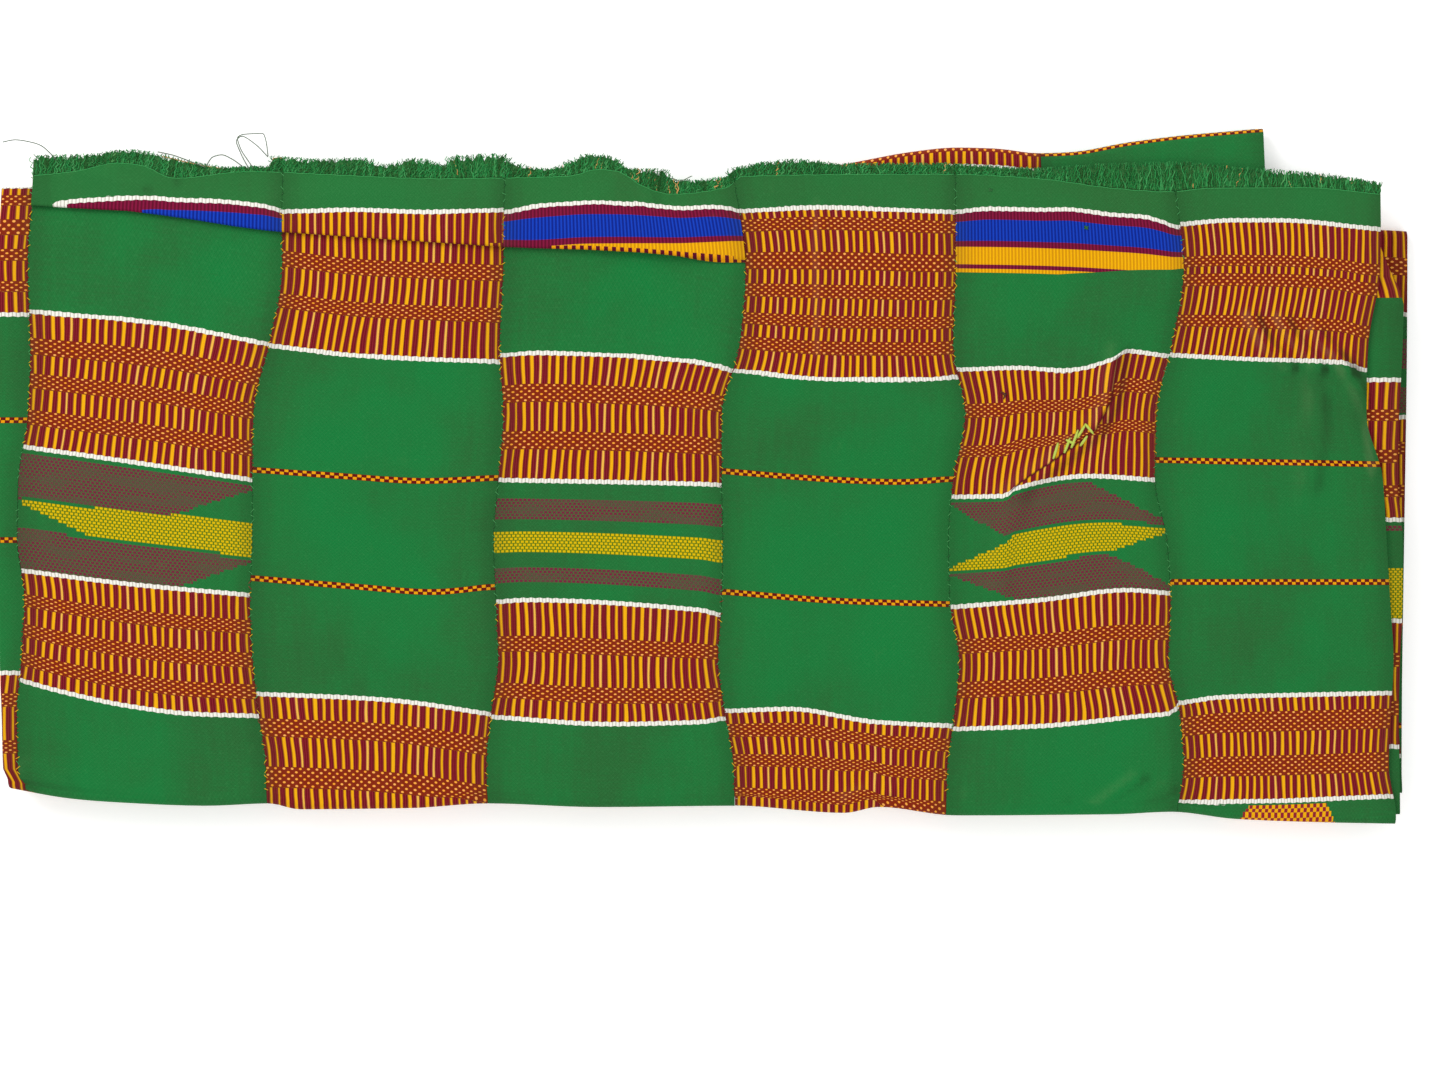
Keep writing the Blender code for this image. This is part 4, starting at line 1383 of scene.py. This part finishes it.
    # Wear in patches, darker edges, and on creases painted shade on the side away from the light and a
    # painted highlight on the side towards it.
    wear = shade.noise(coordinates, 60.0, 4.0, 0.7)
    colour = shade.mix(wear.rise(0.62, 0.85) * 0.12, colour, tint("wear"))
    colour = shade.mix((1 - edge).power(8.0) * 0.25, colour, tint("seam"))
    colour = shade.mix((0.5 - crease).rise(0.02, 0.5) * 0.65, colour, tint("crease"))
    colour = shade.mix((crease - 0.5).rise(0.02, 0.5) * 0.07, colour, tint("crest"))
    if strip == "face_5":
        # A dark line along the mend, painted shadow where one side overlaps the other; the bump also sinks
        # it a little.
        torn = (1 - abs(across - mend).rise(0.0, 0.022)) * number.near(1, 0.5)
        colour = shade.mix(torn * 0.75, colour, tint("torn"))
        height = height - torn * 0.8
    shade.feed("Base Color", colour)
    shine = in_figured * yellow_bar * 0.2 + is_white * 0.15
    shade.feed("Roughness", 0.86 - shine + (wear - 0.5) * 0.12)
    shade.relief(height, 0.00035, 0.85)
    return shade.material


def thread_material(name, stops, smooth="LINEAR"):
    """Threads, whose map picks a colour for each."""
    shade = Shade(name, CLOTH_FINISH)
    pick = shade.map_place("Thread")[0]
    fibre = shade.noise(shade.object_place(), 1800.0, 2.0)
    colour = shade.ramp(pick, stops, smooth)
    colour = shade.mix(fibre.rise(0.3, 0.8) * 0.16, colour, tint("fibre"))
    shade.feed("Base Color", colour)
    shade.feed("Roughness", 0.95 - fibre * 0.2)
    shade.relief(fibre, 0.0001, 0.5)
    return shade.material


def fringe_piece(number, side, grid, strands, seed, material):
    """Curly threads at a strip's frayed end, over a narrow backing of short ones in the darkest green, which
    is painted shade among the threads.
    """
    chooser = random.Random(seed)
    threads = Threads()
    edge = [
        tuple(between(a, b, 0.5) for a, b in zip(high, low))
        for high, low in zip(grid.outer[0], grid.inner[0])
    ]
    root_y = [(p[0], p[1]) for p in edge]
    root_z = [(p[0], p[2]) for p in edge]
    left, right = edge[0][0], edge[-1][0]

    def reach_at(x):
        if side == "back":
            return BACK_FRINGE_REACH
        return max(along(TIPS, x) - along(root_y, x), LEAST_FRINGE_REACH)

    # The backing: a thin ribbon with a ragged far edge, its width a share of the fringe's, in the darkest
    # green as painted shade between the threads.
    for step in range(BACKING_STEPS + 1):
        x = between(left, right, step / BACKING_STEPS)
        y, z = along(root_y, x) - 0.1, along(root_z, x)
        far = y + reach_at(x) * chooser.uniform(*BACKING_SHARES)
        drop = sag(x, far) - sag(x, y)
        threads.vertices += [(x, y, z + height) for height in BACKING_ROOT_HEIGHTS]
        threads.vertices += [(x, far, z + height - drop) for height in BACKING_TIP_HEIGHTS]
    last = 4 * BACKING_STEPS
    for a in range(0, last, 4):
        b = a + 4
        threads.faces += [(a, b, b + 2, a + 2), (a + 3, b + 3, b + 1, a + 1)]
        threads.faces += [(a, a + 1, b + 1, b), (a + 2, b + 2, b + 3, a + 3)]
    threads.faces += [(0, 2, 3, 1), (last, last + 1, last + 3, last + 2)]
    threads.tones.append(BACKING_TONE)
    threads.counts.append(len(threads.faces))

    # The last weft of the cloth along the roots, and a peach thread along the tips at the far left.
    step_x = [between(left + 0.5, right - 0.5, step / ROOT_STEPS) for step in range(ROOT_STEPS + 1)]
    root = [(x, along(root_y, x) + 0.1 * math.sin(9 * x), along(root_z, x) + 0.55) for x in step_x]
    threads.add(ROOT_TONE, root, [0.17] * len(root))
    if side == "face" and number == 1:
        tips = []
        for x in step_x:
            if x > PEACH_LINE_FROM:
                lower = sag(x, along(TIPS, x)) - sag(x, along(root_y, x))
                tips.append((x, along(TIPS, x) - 0.9, along(root_z, x) - 0.1 - lower))
        threads.add(PEACH_TONE, tips, [0.22] * len(tips))

    for _ in range(strands):
        x = chooser.uniform(left, right)
        y, z = along(root_y, x) - 0.5, along(root_z, x)
        straight = ease((x - STRAIGHTER_FROM) / STRAIGHTER_OVER) if side == "face" else 0.3
        reach = (reach_at(x) + 0.6) * (1 - 0.42 * chooser.random() ** 2)
        lean = chooser.uniform(*THREAD_LEAN)
        curl = chooser.uniform(*THREAD_CURL) * (1 - 0.35 * straight)
        pace = chooser.uniform(*THREAD_PACE) * (1 - 0.4 * straight)
        start = chooser.uniform(0, 2 * math.pi)
        level = chooser.uniform(*THREAD_LEVEL)
        droop = chooser.uniform(*THREAD_DROOP)
        radius = chooser.uniform(*THREAD_RADIUS)
        points, radii = [], []
        for step in range(STRAND_STEPS + 1):
            share = step / STRAND_STEPS
            grow = ease(share * 3)
            turn = start + pace * reach * share
            px = x + lean * reach * share + curl * grow * math.sin(turn)
            py = y + reach * share + 0.45 * curl * grow * math.cos(1.3 * turn)
            pz = z + level * grow + 0.4 * curl * grow * math.cos(turn)
            pz -= share * share * droop + sag(x, py) - sag(x, y)
            points.append((px, py, pz))
            radii.append(radius * (1 - THREAD_TAPER * share))
        is_green = chooser.random() > PEACH_SHARE.get(number, 0)
        threads.add(chooser.uniform(*GREEN_TONES) if is_green else PEACH_TONE, points, radii)
    piece = threads.piece(f"{side}_fringe_{number}_threads", material, "frayed_warp")
    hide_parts(f"{side}_fringe_{number}")
    return piece


def top_line(strip, column):
    """The visible line down one column of a face strip's top, as (x, y, z, pattern row)."""
    grid = GRIDS[strip]
    points = [
        (*grid.outer[row][column], grid.woven[row][column]) for row in range(grid.top_rows)
    ]
    if strip not in ROW_BELOW_TUCK:
        return points
    lip = min(point[1] for point in points[:TUCK_POINTS])
    below = [point for point in points[TUCK_POINTS:] if point[1] < lip - 0.3]
    return points[:FLAP_POINTS] + below


def point_along(line, length):
    """The point that lies this far along a line of points."""
    for before, after in zip(line, line[1:]):
        step = math.dist(before[:3], after[:3])
        if length <= step:
            return tuple(between(a, b, length / step) for a, b in zip(before, after))
        length -= step
    return None


def arch(start, end, height, steps=4):
    """A thread from one point to another, that rises between them."""
    points = []
    for step in range(steps + 1):
        share = step / steps
        x, y, z = (between(a, b, share) for a, b in zip(start, end))
        points.append((x, y, z + height * math.sin(math.pi * share)))
    return points


def is_figured(strip, row):
    odd = strip != "wrap" and int(strip[-1]) % 2 == 1
    return row > 0 and math.floor(row) % PATTERN_CYCLE in FIGURED_ROWS[odd]


def seam_piece(left_strip, right_strip, step, seed, material):
    """The small slanting stitches that join two strips of the face."""
    chooser = random.Random(seed)
    line = top_line(right_strip, 0)
    threads = Threads()
    length = 1.0
    place = point_along(line, length)
    while place is not None and place[1] >= STITCHES_END:
        x, y, z, row = place
        x -= SEAM_GAP / 2
        slant = chooser.uniform(*STITCH_SLANT) * (1 if len(threads.counts) % 2 else -1)
        reach = chooser.uniform(*STITCH_REACH)
        ends = [(x + way * reach, y + way * slant, z + 0.02) for way in (-1, 1)]
        bright = is_figured(right_strip, row) or is_figured(left_strip, row)
        tone = chooser.choice((0.2, 0.45, 0.45, 0.75, 0.75) if bright else (0.05, 0.2, 0.2))
        threads.add(tone, arch(*ends, STITCH_HEIGHT), [STITCH_RADIUS] * 5)
        length += step * chooser.uniform(*STITCH_SPACING) * (1 if bright else 1.3)
        place = point_along(line, length)
    return threads.piece(f"seam_{left_strip}_{right_strip}", material, "woven_strip")


def surface_point(strip, pixel_x, pixel_y, rise=0.0):
    """The point of a face strip's top that shows at a pixel of the photograph."""
    x, y = photo_x(pixel_x), photo_y(pixel_y)
    grid = GRIDS[strip]
    nearest = min(
        (math.hypot(px - x, py - y), -pz)
        for row in grid.outer[:grid.top_rows] for px, py, pz in row
    )
    return (x, y, -nearest[1] + rise)


def free_thread(path):
    """A smooth line through points of the photograph, each with its height in millimetres."""
    places = [(photo_x(x), photo_y(y), z) for x, y, z in path]
    lines = [rounded(list(enumerate(values)), 0.2) for values in zip(*places)]
    return list(zip(*[[value for _, value in line] for line in lines]))


def colour_property(name, description, red, green, blue):
    return bpy.props.FloatVectorProperty(
        name=name, description=description, subtype="COLOR", size=3, min=0, max=1,
        default=linear(red, green, blue)[:3],
    )


class KenteColours(bpy.types.PropertyGroup):
    green: colour_property("Green", "Plain ground of the strips", 24, 114, 52)
    yellow: colour_property("Yellow", "Yellow bars and checks", 238, 172, 0)
    maroon: colour_property("Maroon", "Maroon bars and checks", 142, 30, 48)
    dot: colour_property("Orange", "Small spots in the bands between bars", 244, 158, 40)
    blue: colour_property("Blue", "Blue of the woven ends", 18, 64, 188)
    block: colour_property("Purple", "Upper and lower shapes of the middle row", 116, 34, 60)
    lens: colour_property("Lime", "Middle shape of the middle row", 220, 184, 0)
    white: colour_property("White", "White woven lines", 242, 240, 230)


def count_property(name, description, default, least, most):
    return bpy.props.IntProperty(
        name=name, description=description, default=default, min=least, max=most
    )


def length_property(name, description, default):
    return bpy.props.FloatProperty(
        name=name, description=description, default=default, unit="LENGTH"
    )


class KenteSizes(bpy.types.PropertyGroup):
    face_columns: count_property(
        "Columns across a face strip", "Quads across each strip of the face", 40, 8, 60
    )
    back_columns: count_property(
        "Columns across a back strip", "Quads across each strip of the back", 20, 6, 60
    )
    strip_width: length_property("Strip width", "Width of a woven strip when flat", 0.097)
    strip_length: length_property("Strip length", "Length of a woven strip when flat", 1.29)
    face_threads: count_property(
        "Threads in a face fringe", "Loose threads at the end of a face strip", 620, 50, 900
    )
    back_threads: count_property(
        "Threads in a back fringe", "Loose threads at the end of a back strip", 160, 20, 900
    )
    stitch_step: length_property(
        "Stitch step", "Distance between the stitches that join two strips", 0.0021
    )


FACE_NAMES = list(FACE_LINES)[1:]
BACK_NAMES = [*BACK_LINES, "right_edge"]
GRIDS = {}


def declare(with_pieces):
    """Looks up by name the pieces that go with a strip's cloth, its fringe and stitches."""
    [bpy.data.objects[name] for name in with_pieces]


def woven_strips(side, kind, names, columns, end_line):
    """Weaves the strips between the lines of their seams, and gives each with its number."""
    for number, (left, right) in enumerate(zip(names, names[1:]), start=1):
        strip = f"{kind}_{number}"
        GRIDS[strip] = strip_grid(strip, side, left, right, columns, end_line)
        motif = MOTIFS.get(strip, PLAIN_MOTIF)
        material = woven_material(strip, number % 2 == 1, motif, end_band=side == FACE)
        yield number, sheet_piece(f"{strip}_cloth", GRIDS[strip], material)


class KENTE_OT_face_strips(bpy.types.Operator):
    """Weave the six strips of the face"""

    bl_idname = "kente.face_strips"
    bl_label = "Face strips"

    def execute(self, context):
        columns = context.scene.kente_sizes.face_columns
        for number, piece in woven_strips(FACE, "face", FACE_NAMES, columns, ROUNDED_FACE_END):
            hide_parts(f"face_strip_{number}")
        return {"FINISHED"}


class KENTE_OT_back_strips(bpy.types.Operator):
    """Weave the five strips of the back"""

    bl_idname = "kente.back_strips"
    bl_label = "Back strips"

    def execute(self, context):
        columns = context.scene.kente_sizes.back_columns
        for number, piece in woven_strips(BACK, "back", BACK_NAMES, columns, ROUNDED_BACK_END):
            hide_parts(f"back_strip_{number}")
        return {"FINISHED"}


class KENTE_OT_wrap_strip(bpy.types.Operator):
    """Weave the strip that passes round the left fold"""

    bl_idname = "kente.wrap_strip"
    bl_label = "Wrap strip"

    def execute(self, context):
        GRIDS["wrap"] = wrap_grid()
        material = woven_material("wrap", False, PLAIN_MOTIF)
        piece = sheet_piece("wrap_cloth", GRIDS["wrap"], material)
        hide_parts("wrap_strip")
        return {"FINISHED"}


class KENTE_OT_fringes(bpy.types.Operator):
    """Add the frayed ends of the strips"""

    bl_idname = "kente.fringes"
    bl_label = "Fringes"

    def execute(self, context):
        sizes = context.scene.kente_sizes
        # The ramp's first and darkest green is painted shade, for the backing.
        material = thread_material("frayed_green", [
            (0.0, linear(10, 84, 36)), (0.1, linear(22, 78, 26)), (0.25, linear(8, 98, 42)),
            (0.6, linear(16, 122, 56)), (0.85, linear(40, 146, 76)), (0.97, linear(78, 168, 98)),
            (0.98, linear(226, 160, 96)),
        ])
        for side, count, strands, seed in (
            ("face", 6, sizes.face_threads, 40), ("back", 5, sizes.back_threads, 60),
        ):
            for number in range(1, count + 1):
                fringe_piece(number, side, GRIDS[f"{side}_{number}"], strands, seed + number, material)
        return {"FINISHED"}


class KENTE_OT_seams(bpy.types.Operator):
    """Sew the strips of the face together"""

    bl_idname = "kente.seams"
    bl_label = "Seams"

    def execute(self, context):
        material = thread_material("seam_threads", [
            (0.0, linear(24, 92, 46)), (0.1, linear(64, 148, 84)), (0.4, linear(232, 176, 10)),
            (0.6, linear(124, 24, 30)), (0.9, linear(186, 204, 84)), (0.97, linear(90, 16, 24)),
        ], "CONSTANT")
        step = context.scene.kente_sizes.stitch_step / MM
        for number in range(1, 6):
            seam_piece(f"face_{number}", f"face_{number + 1}", step, 80 + number, material)
        seam_piece("wrap", "face_1", step, 80, material)
        return {"FINISHED"}


class KENTE_OT_mend(bpy.types.Operator):
    """Add the pale stitches of the mend, a knot in the weft and the loose threads"""

    bl_idname = "kente.mend"
    bl_label = "Mend and loose threads"

    def execute(self, context):
        mend = Threads()
        for start, end in MEND_STITCHES:
            ends = [surface_point("face_5", *pixel, 0.05) for pixel in (start, end)]
            mend.add(0.93, arch(*ends, 0.7, 7), MEND_STITCH_RADII, 6)
        knot = surface_point("face_5", *KNOT_PIXEL)
        loops = [tuple(a + b for a, b in zip(knot, loop)) for loop in KNOT_LOOPS]
        mend.add(0.98, loops, KNOT_RADII, 6)
        for pixel in SMALL_KNOT_PIXELS:
            x, y, z = surface_point("face_5", *pixel)
            for dx, dy in SMALL_KNOT_ARMS:
                ends = [(x + way * dx, y + way * dy, z + 0.05) for way in (-1, 1)]
                mend.add(0.05, arch(*ends, 0.25), SMALL_KNOT_RADII)
        mend.piece("mend_stitches", bpy.data.materials["seam_threads"], "woven_strip")
        loose = Threads()
        for tone, path in zip(LOOSE_THREAD_TONES, LOOSE_THREADS):
            points = free_thread(path)
            loose.add(tone, points, [LOOSE_THREAD_RADIUS] * len(points), 5)
        grey = thread_material("loose_grey", [(0.0, linear(72, 88, 78)), (1.0, linear(116, 124, 114))])
        loose.piece("loose_threads", grey, "frayed_warp")
        return {"FINISHED"}


class KENTE_OT_stage(bpy.types.Operator):
    """Set out the pale floor, the lights and the camera"""

    bl_idname = "kente.stage"
    bl_label = "Stage"

    def execute(self, context):
        bpy.ops.object.select_all(action="DESELECT")
        bpy.ops.mesh.primitive_plane_add(size=6, location=(0, 0, -0.0002))
        floor = context.object
        floor.name = "floor"
        bpy.ops.object.transform_apply(location=True, rotation=True, scale=True)
        shade = Shade("pale_floor", {
            "Roughness": 0.9, "Specular IOR Level": 0.2, "Emission Color": (1, 1, 1, 1),
            "Emission Strength": 0.3,
        })
        grain = shade.noise(shade.object_place(), 30.0, 3.0)
        shade.feed("Base Color", shade.mix(grain, linear(246, 246, 245), linear(250, 250, 249)))
        floor.data.materials.append(shade.material)
        floor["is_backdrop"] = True
        for name, place, size, power in (
            ("key_light", (-1.2, 1.2, 1.3), 1.0, 19.0),
            ("fill_light", (1.2, -0.9, 1.7), 1.8, 8.0),
        ):
            bpy.ops.object.light_add(type="AREA", location=place)
            light = context.object
            light.name = name
            light.data.size = size
            light.data.energy = power
            toward = -light.location.normalized()
            light.rotation_euler = toward.to_track_quat("-Z", "Y").to_euler()
        world = bpy.data.worlds.new("soft_sky")
        world.use_nodes = True
        sky = world.node_tree.nodes["Background"].inputs
        sky["Color"].default_value = (1, 1, 1, 1)
        sky["Strength"].default_value = 0.8
        context.scene.world = world
        frame_width = PHOTO_SIZE[0] / PIXELS_PER_MM * MM
        middle = [photo_x(PHOTO_SIZE[0] / 2) * MM, photo_y(PHOTO_SIZE[1] / 2) * MM]
        bpy.ops.object.camera_add(location=(*middle, CAMERA_HEIGHT + CLOTH_TOP), rotation=(0, 0, 0))
        camera = context.object
        camera.name = "camera"
        camera.data.sensor_width = SENSOR_WIDTH
        camera.data.lens = SENSOR_WIDTH * CAMERA_HEIGHT / frame_width
        context.scene.camera = camera
        context.scene.view_settings.view_transform = "Standard"
        return {"FINISHED"}


class KENTE_PT_panel(bpy.types.Panel):
    bl_idname = "KENTE_PT_panel"
    bl_label = "Folded kente cloth"
    bl_space_type = "VIEW_3D"
    bl_region_type = "UI"
    bl_category = "Kente"

    def draw(self, context):
        scene = context.scene
        for group in (scene.kente_sizes, scene.kente_colours):
            for name in type(group).__annotations__:
                self.layout.prop(group, name)
        for operator in OPERATORS:
            self.layout.operator(operator.bl_idname)


OPERATORS = (
    KENTE_OT_stage, KENTE_OT_wrap_strip, KENTE_OT_face_strips, KENTE_OT_back_strips, KENTE_OT_fringes,
    KENTE_OT_seams, KENTE_OT_mend,
)
CLASSES = (KenteSizes, KenteColours, *OPERATORS, KENTE_PT_panel)


def register():
    for entry in CLASSES:
        bpy.utils.register_class(entry)
    bpy.types.Scene.kente_sizes = bpy.props.PointerProperty(type=KenteSizes)
    bpy.types.Scene.kente_colours = bpy.props.PointerProperty(type=KenteColours)


def unregister():
    del bpy.types.Scene.kente_sizes
    del bpy.types.Scene.kente_colours
    for entry in reversed(CLASSES):
        bpy.utils.unregister_class(entry)


def declare_sheets():
    for number in range(1, 7):
        pieces = [f"face_fringe_{number}_threads"]
        if number < 6:
            pieces.append(f"seam_face_{number}_face_{number + 1}")
        pieces += {1: ["loose_threads"], 5: ["mend_stitches"]}.get(number, [])
        declare(pieces)
    for number in range(1, 6):
        declare([f"back_fringe_{number}_threads"])
    declare(["seam_wrap_face_1"])


def main():
    register()
    bpy.ops.kente.stage()
    bpy.ops.kente.wrap_strip()
    bpy.ops.kente.face_strips()
    bpy.ops.kente.back_strips()
    bpy.ops.kente.fringes()
    bpy.ops.kente.seams()
    bpy.ops.kente.mend()
    declare_sheets()
    boxes = {"cad": CAD_BOX, "visual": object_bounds()}
    {name: [list(corner) for corner in box] for name, box in boxes.items()}


if __name__ == "__main__":
    main()
